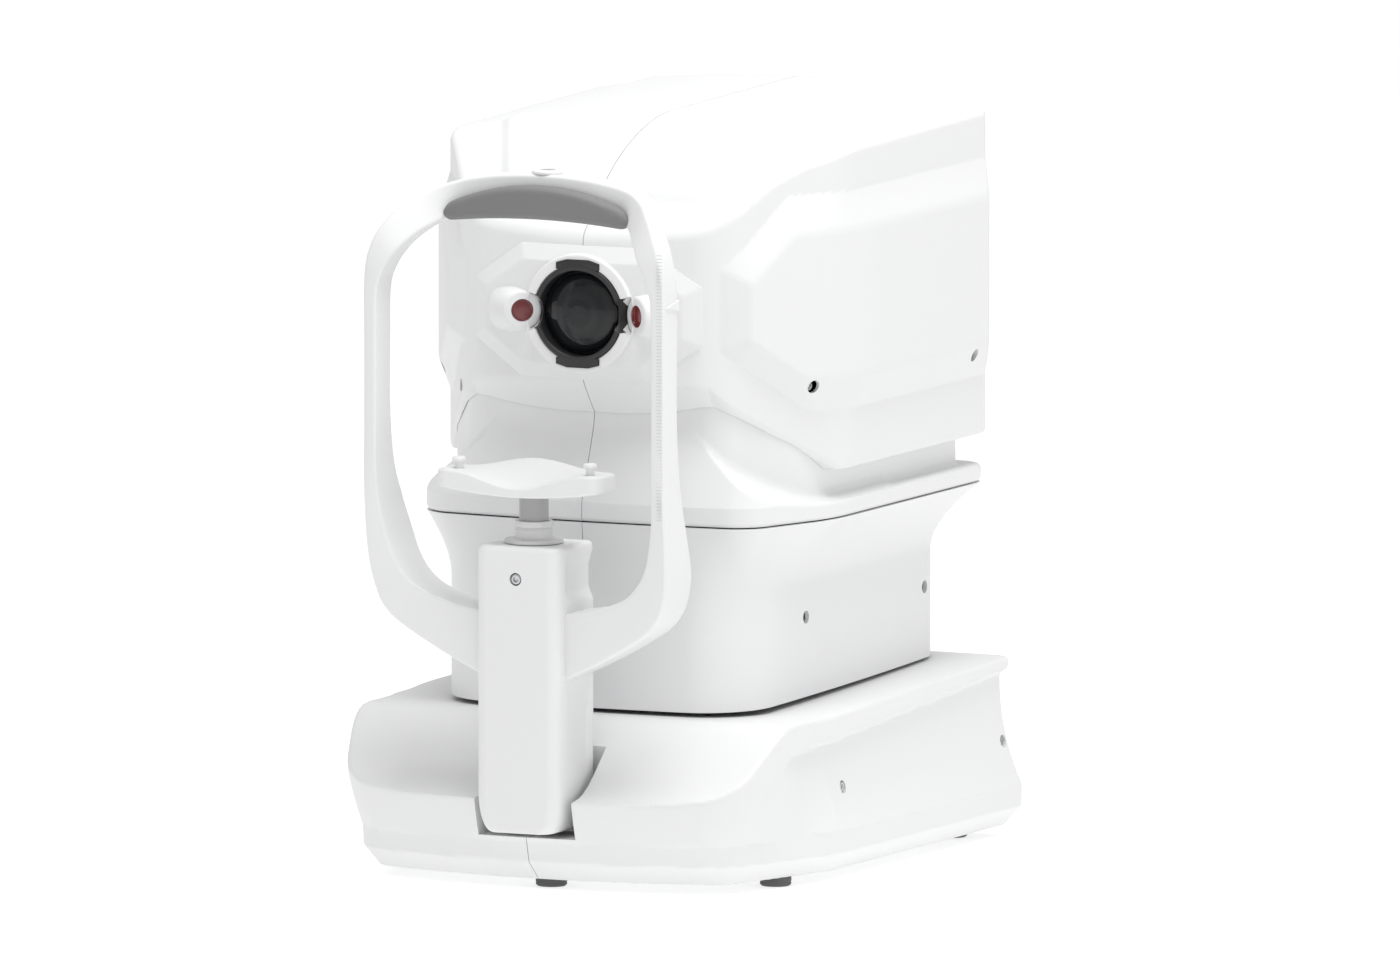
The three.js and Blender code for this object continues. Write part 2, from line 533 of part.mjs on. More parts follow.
// ---------------------------------------------------------------- head internals
function buildInternals() {
  const bracket = box(-48, 48, 118, 126, 300, 420).subtract(bar('y', 0, 100, LENS.z, 37 + GAP, 90, 32));
  const nut = box(-14, 14, Z_AXIS_Y - 12, Z_AXIS_Y + 12, 212, 303)
    .subtract(bar('z', 0, Z_AXIS_Y, 200, 4.4, 120, 12));
  const sleeves = mirroredBoxes(40, 64, Z_AXIS_Y - 12, Z_AXIS_Y + 12, 215, 300);
  const rodHoles = bar('z', -52, Z_AXIS_Y, 150, 7.4, 160, 20)
    .add(bar('z', 52, Z_AXIS_Y, 150, 7.4, 160, 20));
  const chassis = box(-105, 105, 112, 368, 298, 304)
    .subtract(box(-60, 60, 128, 226, 290, 310))
    .add(bracket).add(sleeves).subtract(rodHoles)
    .add(mirroredBoxes(40, 46, 120, 232, 300, 326))
    .subtract(bar('z', 0, Z_AXIS_Y, 200, 6, 120, 12)).add(nut);
  add('head_chassis', chassis, 'aluminium');
  const top = 304 + GAP;
  const focus = box(-34, 34, 190, 206, 330, 410).add(box(-46, 46, 190, 206, 326 + GAP, 334))
    .subtract(bar('y', 0, 170, LENS.z, 22, 60, 32));
  add('focus_carriage', focus, 'motor_black');
  const mount = box(-34, 34, 238, 296, top, 318)
    .add(box(-30, -10, 250, 284, 310, 352)).add(box(12, 32, 250, 284, 310, 352))
    .subtract(bar('z', -20, 262, 320, 3.4, 60, 16)).subtract(bar('z', 22, 272, 320, 3.4, 60, 16));
  add('scanner_mount', mount, 'aluminium');
  const mirrorX = bar('z', -20, 262, 322, 3, 40, 16).add(box(-26, -14, 260.5, 263.5, 360, 384));
  add('galvo_mirror_x', mirrorX, 'steel');
  const mirrorY = bar('z', 22, 272, 322, 3, 40, 16).add(box(16, 28, 270.5, 273.5, 360, 384));
  add('galvo_mirror_y', mirrorY, 'steel');
  add('spectrometer', box(50, 104, 180, 326, top, 366), 'motor_black');
  const referenceRail = box(-80, -68, 195, 345, 351, 355);
  add('light_source', box(-104, -50, 190, 350, top, 352).add(referenceRail), 'motor_black');
  add('reference_carriage', box(-96, -52, 230, 256, 355 + GAP, 384), 'aluminium');
  const board = box(-100, 100, 306, 309, 392, 460).add(box(-40, 40, 309, 318, 410, 440));
  add('head_board', board, 'board');
}

// ---------------------------------------------------------------- chin rest and forehead rest
const roundedRect = (x0, x1, y0, y1, r) => {
  const corners = [[x1 - r, y0 + r, -90], [x1 - r, y1 - r, 0], [x0 + r, y1 - r, 90], [x0 + r, y0 + r, 180]];
  return corners.flatMap(([x, y, start]) => [0, 30, 60, 90].map((step) => {
    const angle = THREE.MathUtils.degToRad(start + step);
    return [x + r * Math.cos(angle), y + r * Math.sin(angle)];
  }));
};

// Half of the hoop as stations: outer and inner point in x and z, then the front and rear edge in y.
const HOOP = [
  { outer: [30, 141], inner: [30, 184], y: [-24, 14] },
  { outer: [58, 155], inner: [50, 188], y: [-25, 13] },
  { outer: [87, 172], inner: [70, 195], y: [-27, 11] },
  { outer: [99, 184], inner: [82, 204], y: [-30, 10] },
  { outer: [104.5, 198], inner: [90, 217], y: [-32, 9] },
  { outer: [107, 214], inner: [95, 235], y: [-35, 6] },
  { outer: [108, 235], inner: [98, 256], y: [-38, -2] },
  { outer: [108, 267], inner: [99, 280], y: [-41, -12] },
  { outer: [108, 310], inner: [99, 315], y: [-41, -17] },
  { outer: [108, 360], inner: [99, 360], y: [-41, -17] },
  { outer: [108, 398], inner: [98.5, 392], y: [-41, -17] },
  { outer: [105.5, 418], inner: [94, 407], y: [-40, -17] },
  { outer: [99, 434], inner: [86, 420], y: [-35, -13] },
  { outer: [88, 448], inner: [77, 430], y: [-23, -3] },
  { outer: [75, 457], inner: [67, 437], y: [-8, 10] },
  { outer: [60, 462.5], inner: [56, 441], y: [1, 18] },
  { outer: [40, 466.5], inner: [38, 443.5], y: [2, 20] },
  { outer: [20, 468.5], inner: [19, 445], y: [2, 22] },
];

function hoopSection(outer, inner, y, sign) {
  return [
    new THREE.Vector3(sign * outer[0], y[0], outer[1]), new THREE.Vector3(sign * outer[0], y[1], outer[1]),
    new THREE.Vector3(sign * inner[0], y[1], inner[1]), new THREE.Vector3(sign * inner[0], y[0], inner[1]),
  ];
}

// The post's outline at one height; its sides round inwards towards the foot.
function postOutline(z) {
  const inset = 9 * (1 - Math.sqrt(1 - clamp01((66 - z) / (66 - POST.z0)) ** 2));
  const half = POST.halfWidth - inset;
  return roundedRect(-half, half, POST.y0 + inset / 4, POST.y1, 6)
    .map(([x, y]) => new THREE.Vector3(x, y, z));
}

// Section of the chin tray at one x: the dish is low at the front edge and rises to a crest at the rear.
function traySection(x) {
  const endTop = 276.9;
  const ease = 0.5 * (1 + Math.cos(Math.PI * clamp01(Math.abs(x) / 50)));
  const bottom = 260.6 + x * x / 658;
  const section = [CHIN.trayFront - 1, CHIN.trayRear + 1].map((y) => new THREE.Vector3(x, y, bottom));
  for (let i = 8; i >= 0; i -= 1) {
    const back = i / 8;
    const dish = 266.8 + 17.7 * back ** 1.6;
    const y = CHIN.trayFront - 1 + (CHIN.trayRear - CHIN.trayFront + 2) * back;
    section.push(new THREE.Vector3(x, y, endTop + (dish - endTop) * ease));
  }
  return section;
}

function buildPatientSide() {
  const solidPost = ringLoft([POST.z0, 41, 43.5, 48, 55, 66, POST.z1].map(postOutline));
  const bore = box(-21, 21, -28, 13, POST.z0 + 6, POST.z1 - 12);
  const shaftHole = bar('z', 0, CHIN.y, POST.z1 - 20, CHIN.shaftRadius + 0.4, 40, 32);
  const wiring = box(-8, 8, 4, 30, 60, 76);
  const screwHole = bar('y', 0, -45, 207.4, 4.3, 14, 12);
  const post = solidPost.subtract(bore).subtract(shaftHole).subtract(wiring).subtract(screwHole);
  add('chin_post', post, 'shell');
  const collarProfile = [[10, 0], [19.4, 0], [19.4, 2.5], [12.4, 3.2], [12.4, 9], [11.8, 9.3], [11.8, 10],
    [12.4, 10.3], [12.4, 14.5], [10, 14.5], [10, 0]];
  add('chin_collar', turned('z', 0, CHIN.y, POST.z1 + GAP, collarProfile, 24), 'steel');
  add('chin_shaft', bar('z', 0, CHIN.y, POST.z1 - 62, CHIN.shaftRadius, 93.7, 32)
    .subtract(bar('z', 0, CHIN.y, POST.z1 - 70, 4.4, 70, 16)), 'aluminium');
  const chinMotor = stepper(0, CHIN.y, 48, 28, 36, 'z').subtract(bar('z', 0, CHIN.y, 74, 4.4, 20, 16));
  add('chin_motor', chinMotor, 'motor_black');
  add('chin_screw', bar('z', 0, CHIN.y, 76, 4, 132, 12), 'steel');

  const sections = [];
  for (let i = -12; i <= 12; i += 1) sections.push(traySection(i * 5));
  const trayEdge = roundedRect(-CHIN.trayHalf, CHIN.trayHalf, CHIN.trayFront, CHIN.trayRear, 9);
  const pinHoles = bar('z', -47.3, -23, 255, 3.1, 60, 16).add(bar('z', 47.3, -23, 255, 3.1, 60, 16));
  const tray = ringLoft(sections).intersect(plateXY(trayEdge, 255, 300)).subtract(pinHoles);
  add('chin_tray', tray, 'shell');
  const pinProfile = [
    [0, 0], [2.9, 0], [2.9, 12.2], [4.4, 12.4], [4.7, 13.4], [4.4, 14.8], [3.2, 15.6], [0, 15.9],
  ];
  for (const [side, x] of [['left', -47.3], ['right', 47.3]]) {
    add(`paper_pin_${side}`, turned('z', x, -23, 269, pinProfile, 20), 'white_trim');
  }

  const right = HOOP.map(({ outer, inner, y }) => hoopSection(outer, inner, y, 1));
  const left = HOOP.map(({ outer, inner, y }) => hoopSection(outer, inner, y, -1)).reverse();
  const hoop = ringLoft([...right, ...left])
    .subtract(bar('z', 0, 12, 440, 5.2, 40, 20))
    .subtract(box(-30 - GAP, 30 + GAP, -60, 60, 100, 230));
  add('headrest_hoop', hoop, 'shell');
  const bushProfile = [[5.2, 0], [10.3, 0], [10.3, 1.6], [8.6, 2.6], [5.2, 2.6], [5.2, 0]];
  const bush = turned('z', 0, 12, 468.5 + GAP, bushProfile, 32);
  add('hoop_bush', bush, 'white_trim');
  const padStep = CHIN.padHalf / 6;
  const padOutline = [];
  for (let i = -6; i <= 6; i += 1) padOutline.push([i * padStep, -11]);
  for (let i = 6; i >= -6; i -= 1) {
    padOutline.push([i * padStep, 1.2 - Math.max(Math.abs(i) * padStep - 50, 0) * 0.66]);
  }
  add('forehead_pad', plateXY(padOutline, 440, 462.4), 'pad');
}

buildBase();
buildStages();
buildCovers();
buildLens();
buildInternals();
buildPatientSide();

export default model;
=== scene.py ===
# Desktop eye scanner with chin rest: the visible skin of a imported CAD frame.

# %% [markdown]
# ## The frame comes first
# The CAD model gives every size and every moving body. It is loaded before anything is made.

# %% Load the frame
import json
import math

import bmesh
import bpy
import numpy as np
from mathutils import Matrix, Vector


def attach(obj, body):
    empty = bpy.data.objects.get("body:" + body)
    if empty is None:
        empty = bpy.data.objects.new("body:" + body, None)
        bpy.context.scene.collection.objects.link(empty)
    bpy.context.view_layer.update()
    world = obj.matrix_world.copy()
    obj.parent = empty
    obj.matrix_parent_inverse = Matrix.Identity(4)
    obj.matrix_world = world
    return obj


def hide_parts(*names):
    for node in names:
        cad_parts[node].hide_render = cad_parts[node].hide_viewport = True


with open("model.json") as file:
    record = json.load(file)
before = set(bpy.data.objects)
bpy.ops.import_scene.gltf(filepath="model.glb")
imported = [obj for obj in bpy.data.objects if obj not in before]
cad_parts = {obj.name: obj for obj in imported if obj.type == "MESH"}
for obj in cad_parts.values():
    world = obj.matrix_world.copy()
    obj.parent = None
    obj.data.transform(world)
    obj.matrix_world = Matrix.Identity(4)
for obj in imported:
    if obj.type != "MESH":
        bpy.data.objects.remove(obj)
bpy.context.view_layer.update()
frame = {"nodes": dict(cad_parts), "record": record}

# %% [markdown]
# ## Millimetres and a datum
# All shapes below are written in millimetres. x runs left to right, y runs back from the toe of the base
# and z runs up from the table. The frame is in metres with its origin in the middle of the footprint, so
# one helper carries every point over.

# %% Units
MM = 0.001
TOE_TO_ORIGIN = 178.0


def to_frame(points):
    placed = np.array(points, float)
    placed[..., 1] -= TOE_TO_ORIGIN
    return placed * MM


def to_datum(points):
    placed = np.array(points, float) / MM
    placed[..., 1] += TOE_TO_ORIGIN
    return placed


# %% [markdown]
# ## Shapes as fields
# A moulded cover is all soft transitions: a wall that becomes a brow, a bulge that fades into a side. Such
# a shape is easy to say as a field, a function that is below zero inside the cover and grows by about one
# for each millimetre outside it. `meet` joins two fields with a fillet of radius r.

# %% Field helpers
def clamp(t):
    return np.clip(t, 0, 1)


def smooth(t):
    t = clamp(t)
    return t * t * (3 - 2 * t)


def meet(a, b, r):
    return np.minimum(-r, np.maximum(a, b)) + np.hypot(np.maximum(r + a, 0), np.maximum(r + b, 0))


def arc_wall(x, y, front, radius):
    return np.hypot(x, y - front - radius) - radius


def line_wall(ax, y, x0, y0, degrees):
    a = math.radians(degrees)
    return math.sin(a) * (ax - x0) - math.cos(a) * (y - y0)


# %% [markdown]
# ## From a field to a mesh
# A grid drawn on a box round the shape is pulled in along rays from a point inside it until each grid
# point meets the surface. Halving the interval thirty times gives a place far finer than a hair.
# For tall walls a stack of level outlines does the same job ring by ring.

# %% Meshes from points
def mesh_piece(name, points, faces):
    mesh = bpy.data.meshes.new(name)
    mesh.from_pydata(to_frame(points).tolist(), [], [list(map(int, f)) for f in faces])
    mesh.update()
    piece = bpy.data.objects.new(name, mesh)
    bpy.context.scene.collection.objects.link(piece)
    return piece


def tidy(piece, merge=0.002):
    """Merges doubles, then turns every face outwards."""
    work = bmesh.new()
    work.from_mesh(piece.data)
    bmesh.ops.remove_doubles(work, verts=work.verts, dist=merge * MM)
    bmesh.ops.recalc_face_normals(work, faces=work.faces)
    work.to_mesh(piece.data)
    work.free()
    piece.data.update()
    return piece


def reach(field, origins, directions, far, steps=30):
    """The last point inside the field on each ray."""
    low = np.zeros(len(directions))
    high = np.full(len(directions), far)
    for _ in range(steps):
        middle = (low + high) / 2
        inside = field(*(origins + directions * middle[:, None]).T) < 0
        low = np.where(inside, middle, low)
        high = np.where(inside, high, middle)
    return origins + directions * low[:, None]


def box_grid(low, high, step):
    """Quads of a grid on a box, facing outwards, with shared corners."""
    low, high = np.array(low, float), np.array(high, float)
    counts = np.maximum(np.ceil((high - low) / step).astype(int), 1)
    lines = [np.linspace(low[k], high[k], counts[k] + 1) for k in range(3)]
    points, quads, used = [], [], 0
    for k, (u, v) in enumerate([(1, 2), (2, 0), (0, 1)]):
        for end in (0, 1):
            gu, gv = np.meshgrid(lines[u], lines[v], indexing="ij")
            sheet = np.empty((gu.size, 3))
            sheet[:, u], sheet[:, v], sheet[:, k] = gu.ravel(), gv.ravel(), (low, high)[end][k]
            index = np.arange(gu.size).reshape(gu.shape) + used
            cells = np.stack([index[:-1, :-1], index[1:, :-1], index[1:, 1:], index[:-1, 1:]], -1)
            cells = cells.reshape(-1, 4)
            points.append(sheet)
            quads.append(cells if end else cells[:, ::-1])
            used += gu.size
    points, quads = np.concatenate(points), np.concatenate(quads)
    _, first, back = np.unique(np.round(points * 1000).astype(np.int64), axis=0,
                               return_index=True, return_inverse=True)
    return points[first], back.ravel()[quads]


def pulled_shell(name, field, low, high, centre, step):
    points, quads = box_grid(low, high, step)
    directions = points - np.array(centre, float)
    origins = np.broadcast_to(np.array(centre, float), directions.shape)
    return mesh_piece(name, reach(field, origins, directions, 2.2), quads)


def loft(name, rings, closed=False):
    """A skin over rings of equal length; open ends are capped."""
    rings = np.array(rings, float)
    count, around = rings.shape[:2]
    index = np.arange(count * around).reshape(count, around)
    upper = np.roll(index, -1, 0) if closed else index[1:]
    lower = index if closed else index[:-1]
    quads = np.stack([lower, np.roll(lower, -1, 1), np.roll(upper, -1, 1), upper], -1).reshape(-1, 4).tolist()
    if not closed:
        quads += [index[0][::-1].tolist(), index[-1].tolist()]
    return mesh_piece(name, rings.reshape(-1, 3), quads)


def outline(half_width, y0, y1, step):
    """Ray directions from the middle of a plan to points spread evenly round its edge."""
    half = (y1 - y0) / 2
    across = np.linspace(-half_width, half_width, int(2 * half_width / step) + 1)[:-1]
    along = np.linspace(-half, half, int(2 * half / step) + 1)[:-1]
    front = np.stack([across, np.full_like(across, -half)], -1)
    side = np.stack([np.full_like(along, half_width), along], -1)
    return np.concatenate([front, side, -front, -side])


def stack(name, field, levels, spread, middle, follow=None):
    """Level outlines of a field, piled up; follow bends a level into a height over the plan."""
    follow = follow or (lambda level, x, y: np.full_like(x, level))
    rings = []
    for level in levels:
        low, high = np.zeros(len(spread)), np.full(len(spread), 2.2)
        for _ in range(30):
            t = (low + high) / 2
            x, y = spread[:, 0] * t, middle + spread[:, 1] * t
            inside = field(x, y, follow(level, x, y)) < 0
            low, high = np.where(inside, t, low), np.where(inside, high, t)
        x, y = spread[:, 0] * low, middle + spread[:, 1] * low
        rings.append(np.stack([x, y, follow(level, x, y)], -1))
    return loft(name, rings)


# %% [markdown]
# ## Turned and rounded pieces
# Knobs, rings and feet are profiles turned round a line. Real corners are never sharp, so `rounded`
# replaces each corner of a profile or an outline by a short curve before it is used.

# %% Turned pieces
def rounded(points, radius, closed=False, bits=4):
    points = [np.array(p, float) for p in points]
    result = []
    last = len(points) - 1
    for i, corner in enumerate(points):
        if not closed and i in (0, last):
            result.append(corner)
            continue
        before, after = points[i - 1], points[(i + 1) % len(points)]
        to_before, to_after = before - corner, after - corner
        cut = min(radius, 0.45 * np.linalg.norm(to_before), 0.45 * np.linalg.norm(to_after))
        a = corner + to_before / np.linalg.norm(to_before) * cut
        b = corner + to_after / np.linalg.norm(to_after) * cut
        for t in np.linspace(0, 1, bits):
            result.append((1 - t) ** 2 * a + 2 * t * (1 - t) * corner + t * t * b)
    return np.array(result)


def turned(name, profile, centre, axis=(0, 0, 1), sides=96, closed=False):
    """profile is (radius, height along the axis) pairs; closed joins its end to its start."""
    axis = Vector(axis).normalized()
    turn = Vector((0, 0, 1)).rotation_difference(axis).to_matrix()
    angles = np.linspace(0, 2 * math.pi, sides, endpoint=False)
    rings = []
    for radius, height in profile:
        flat = np.stack([radius * np.cos(angles), radius * np.sin(angles), np.full(sides, float(height))], -1)
        rings.append(flat @ np.array(turn).T + np.array(centre, float))
    piece = loft(name, rings, closed)
    return tidy(piece)


def plug(centre, axis, radius, depth, sides=48):
    """A plain cylinder used only to cut holes: it runs depth both ways from centre."""
    return turned("cutter", [(0, -depth), (radius, -depth), (radius, depth), (0, depth)], centre, axis, sides)


def block(low, high):
    """A plain box used only to cut."""
    points, quads = box_grid(low, high, 10000)
    return mesh_piece("cutter", points, quads)


# %% [markdown]
# ## Cutting and baking
# Boolean modifiers with the manifold solver cut closed shells in a fraction of a second. `bake` turns the
# evaluated result into a plain mesh, so that no live modifier is left on a finished piece.

# %% Boolean and bake helpers
def bake(piece):
    graph = bpy.context.evaluated_depsgraph_get()
    mesh = bpy.data.meshes.new_from_object(piece.evaluated_get(graph), depsgraph=graph)
    old = piece.data
    piece.modifiers.clear()
    piece.data = mesh
    mesh.name = piece.name
    bpy.data.meshes.remove(old)
    return piece


def cut(piece, *cutters, operation="DIFFERENCE", solver="MANIFOLD"):
    for cutter in cutters:
        step = piece.modifiers.new("cut", "BOOLEAN")
        step.object, step.operation, step.solver = cutter, operation, solver
    bake(piece)
    for cutter in cutters:
        bpy.data.objects.remove(cutter)
    return piece


SEAM = 0.25              # half the gap between left and right covers


def halves(whole, name):
    """Splits a cover down the middle and leaves the moulding seam open."""
    sides = {"left": ((-400, -400, -50), (-SEAM, 800, 800)), "right": ((SEAM, -400, -50), (400, 800, 800))}
    made = []
    for side, (low, high) in sides.items():
        half = bpy.data.objects.new(f"{name}_{side}_skin", whole.data.copy())
        bpy.context.scene.collection.objects.link(half)
        made.append(cut(half, block(low, high), operation="INTERSECT"))
    bpy.data.objects.remove(whole)
    return made


# %% [markdown]
# ## Shading that follows the field
# A mesh of 2 to 3 mm cells shows its cells in a highlight. The field knows the true slope everywhere, so
# each corner that lies on the outer surface takes its normal from the field. Corners on walls and cut
# edges keep their own, which leaves those edges crisp.

# %% Normals from a field
def shade(piece, angle=32):
    mesh = piece.data
    mesh.polygons.foreach_set("use_smooth", np.ones(len(mesh.polygons), bool))
    mesh.set_sharp_from_angle(angle=math.radians(angle))
    mesh.update()
    return piece


def shade_by_field(piece, field, near=0.35, angle=32):
    shade(piece, angle)
    mesh = piece.data
    co = np.empty(len(mesh.vertices) * 3, np.float32)
    mesh.vertices.foreach_get("co", co)
    points = to_datum(co.reshape(-1, 3))
    step = 0.25
    on_skin = np.abs(field(*points.T)) < near
    slope = np.zeros_like(points)
    skin = points[on_skin]
    for k in range(3):
        shift = np.zeros(3)
        shift[k] = step
        slope[on_skin, k] = field(*(skin + shift).T) - field(*(skin - shift).T)
    slope /= np.maximum(np.linalg.norm(slope, axis=1, keepdims=True), 1e-9)
    loops = np.empty(len(mesh.loops), np.int32)
    mesh.loops.foreach_get("vertex_index", loops)
    normals = np.empty(len(mesh.loops) * 3, np.float32)
    mesh.corner_normals.foreach_get("vector", normals)
    normals = normals.reshape(-1, 3)
    faces = np.empty(len(mesh.polygons) * 3, np.float32)
    mesh.polygons.foreach_get("normal", faces)
    totals = np.empty(len(mesh.polygons), np.int32)
    mesh.polygons.foreach_get("loop_total", totals)
    face_of_loop = np.repeat(faces.reshape(-1, 3), totals, axis=0)
    wanted = slope[loops]
    agrees = (wanted * face_of_loop).sum(1) > 0.7
    normals = np.where(agrees[:, None], wanted, normals)
    mesh.normals_split_custom_set(normals.tolist())
    print(f"{piece.name}: {len(mesh.polygons)} faces, {agrees.mean():.0%} of corners shaded by the field")
    return piece


# %% [markdown]
# ## Shared finish groups
# Four effects turn up in several finishes: the grain of a moulding, slow tone variation, dust that settles
# on upward faces, and the fine lines of machined metal. Each is one node group with named sockets. Groups
# give colours, masks and heights only; the shader stays in the material.

# %% Node helpers
def new_group(name, inputs, outputs):
    group = bpy.data.node_groups.new(name, "ShaderNodeTree")
    for label, kind, default in inputs:
        group.interface.new_socket(label, in_out="INPUT", socket_type=kind).default_value = default
    for label, kind in outputs:
        group.interface.new_socket(label, in_out="OUTPUT", socket_type=kind)
    return group, group.nodes.new("NodeGroupInput"), group.nodes.new("NodeGroupOutput")


def add_node(tree, kind, values=None, **settings):
    node = tree.nodes.new(kind)
    for name, value in settings.items():
        setattr(node, name, value)
    for name, value in (values or {}).items():
        node.inputs[name].default_value = value
    return node


def add_math(tree, operation, a, b=None, c=None, clamped=False):
    node = add_node(tree, "ShaderNodeMath", operation=operation, use_clamp=clamped)
    for i, value in enumerate((a, b, c)):
        if value is None:
            continue
        if isinstance(value, (int, float)):
            node.inputs[i].default_value = value
        else:
            tree.links.new(value, node.inputs[i])
    return node.outputs[0]


def blend_colour(tree, factor, a, b):
    node = add_node(tree, "ShaderNodeMix", data_type="RGBA")
    for socket, value in ((node.inputs[0], factor), (node.inputs[6], a), (node.inputs[7], b)):
        if isinstance(value, bpy.types.NodeSocket):
            tree.links.new(value, socket)
        else:
            socket.default_value = value
    return node.outputs[2]


# %% Grain of a moulded or cast surface
FLOAT, COLOUR = "NodeSocketFloat", "NodeSocketColor"

grain, g_in, g_out = new_group(
    "Surface grain",
    [("Grains per metre", FLOAT, 1500.0), ("Depth", FLOAT, 1.0), ("Waviness", FLOAT, 0.3)],
    [("Height", FLOAT), ("Pits", FLOAT)])
where = add_node(grain, "ShaderNodeTexCoord")
fine = add_node(grain, "ShaderNodeTexNoise", {"Detail": 2.0, "Roughness": 0.6})
cells = add_node(grain, "ShaderNodeTexVoronoi", feature="F1")
slow = add_node(grain, "ShaderNodeTexNoise", {"Scale": 22.0, "Detail": 1.0})
for node in (fine, cells, slow):
    grain.links.new(where.outputs["Object"], node.inputs["Vector"])
grain.links.new(g_in.outputs["Grains per metre"], fine.inputs["Scale"])
grain.links.new(add_math(grain, "MULTIPLY", g_in.outputs["Grains per metre"], 0.6), cells.inputs["Scale"])
texture = add_math(grain, "ADD", fine.outputs["Fac"], cells.outputs["Distance"])
wave = add_math(grain, "MULTIPLY", slow.outputs["Fac"], g_in.outputs["Waviness"])
height = add_math(grain, "ADD", add_math(grain, "MULTIPLY", texture, g_in.outputs["Depth"]), wave)
grain.links.new(height, g_out.inputs["Height"])
grain.links.new(add_math(grain, "GREATER_THAN", cells.outputs["Distance"], 0.62), g_out.inputs["Pits"])

# %% Slow tone variation and sheen
tone, t_in, t_out = new_group(
    "Tone variation",
    [("Colour", COLOUR, (0.7, 0.7, 0.7, 1)), ("Second colour", COLOUR, (0.68, 0.68, 0.68, 1)),
     ("Patches per metre", FLOAT, 9.0), ("Sheen", FLOAT, 0.4), ("Sheen spread", FLOAT, 0.06)],
    [("Colour", COLOUR), ("Roughness", FLOAT)])
where = add_node(tone, "ShaderNodeTexCoord")
patches = add_node(tone, "ShaderNodeTexNoise", {"Detail": 3.0, "Roughness": 0.55, "Distortion": 0.3})
hands = add_node(tone, "ShaderNodeTexNoise", {"Scale": 34.0, "Detail": 4.0, "Roughness": 0.65})
tone.links.new(where.outputs["Object"], patches.inputs["Vector"])
tone.links.new(where.outputs["Object"], hands.inputs["Vector"])
tone.links.new(t_in.outputs["Patches per metre"], patches.inputs["Scale"])
mixed = blend_colour(tone, patches.outputs["Fac"], t_in.outputs["Colour"], t_in.outputs["Second colour"])
tone.links.new(mixed, t_out.inputs["Colour"])
centred = add_math(tone, "SUBTRACT", hands.outputs["Fac"], 0.5)
swing = add_math(tone, "MULTIPLY", centred, t_in.outputs["Sheen spread"])
tone.links.new(add_math(tone, "ADD", t_in.outputs["Sheen"], swing, clamped=True), t_out.inputs["Roughness"])

# %% Dust on upward faces
dust, d_in, d_out = new_group(
    "Settled dust",
    [("Colour", COLOUR, (0.7, 0.7, 0.7, 1)), ("Dust colour", COLOUR, (0.62, 0.6, 0.57, 1)),
     ("Amount", FLOAT, 0.05), ("Roughness", FLOAT, 0.4)],
    [("Colour", COLOUR), ("Roughness", FLOAT)])
where = add_node(dust, "ShaderNodeTexCoord")
facing = add_node(dust, "ShaderNodeSeparateXYZ")
cloud = add_node(dust, "ShaderNodeTexNoise", {"Scale": 60.0, "Detail": 5.0, "Roughness": 0.7})
dust.links.new(where.outputs["Normal"], facing.inputs[0])
dust.links.new(where.outputs["Object"], cloud.inputs["Vector"])
upward = add_math(dust, "MAXIMUM", facing.outputs["Z"], 0.0)
lying = add_math(dust, "MULTIPLY", upward, cloud.outputs["Fac"])
mask = add_math(dust, "MULTIPLY", lying, d_in.outputs["Amount"])
dusty_colour = blend_colour(dust, mask, d_in.outputs["Colour"], d_in.outputs["Dust colour"])
dusty_sheen = add_math(dust, "ADD", d_in.outputs["Roughness"], mask, clamped=True)
dust.links.new(dusty_colour, d_out.inputs["Colour"])
dust.links.new(dusty_sheen, d_out.inputs["Roughness"])

# %% Fine lines of machined metal
lines, l_in, l_out = new_group(
    "Machined lines",
    [("Lines per metre", FLOAT, 2600.0), ("Stretch X", FLOAT, 1.0), ("Stretch Y", FLOAT, 1.0),
     ("Stretch Z", FLOAT, 0.04), ("Roughness", FLOAT, 0.3), ("Spread", FLOAT, 0.2)],
    [("Height", FLOAT), ("Roughness", FLOAT)])
where = add_node(lines, "ShaderNodeTexCoord")
stretch = add_node(lines, "ShaderNodeCombineXYZ")
for axis in "XYZ":
    lines.links.new(l_in.outputs[f"Stretch {axis}"], stretch.inputs[axis])
scaled = add_node(lines, "ShaderNodeVectorMath", operation="MULTIPLY")
lines.links.new(where.outputs["Object"], scaled.inputs[0])
lines.links.new(stretch.outputs[0], scaled.inputs[1])
strokes = add_node(lines, "ShaderNodeTexNoise", {"Detail": 2.0})
lines.links.new(scaled.outputs[0], strokes.inputs["Vector"])
lines.links.new(l_in.outputs["Lines per metre"], strokes.inputs["Scale"])
lines.links.new(strokes.outputs["Fac"], l_out.inputs["Height"])
centred = add_math(lines, "SUBTRACT", strokes.outputs["Fac"], 0.5)
swing = add_math(lines, "MULTIPLY", centred, l_in.outputs["Spread"])
worked_sheen = add_math(lines, "ADD", l_in.outputs["Roughness"], swing, clamped=True)
lines.links.new(worked_sheen, l_out.inputs["Roughness"])
print("shared groups:", [g.name for g in bpy.data.node_groups])


# %% [markdown]
# ## Finishes
# A finish starts as a material with one Principled shader. Numbers that are the same all over the surface
# go on the shader's own sockets; only what varies is linked.

# %% Start of a finish
def new_finish(name, **constants):
    material = bpy.data.materials.new(name)
    material.use_nodes = True
    tree = material.node_tree
    shader = tree.nodes["Principled BSDF"]
    for label, value in constants.items():
        shader.inputs[label.replace("_", " ")].default_value = value
    return material, tree, shader


def use_group(tree, group, **values):
    node = add_node(tree, "ShaderNodeGroup", node_tree=group)
    for label, value in values.items():
        node.inputs[label.replace("_", " ")].default_value = value
    return node


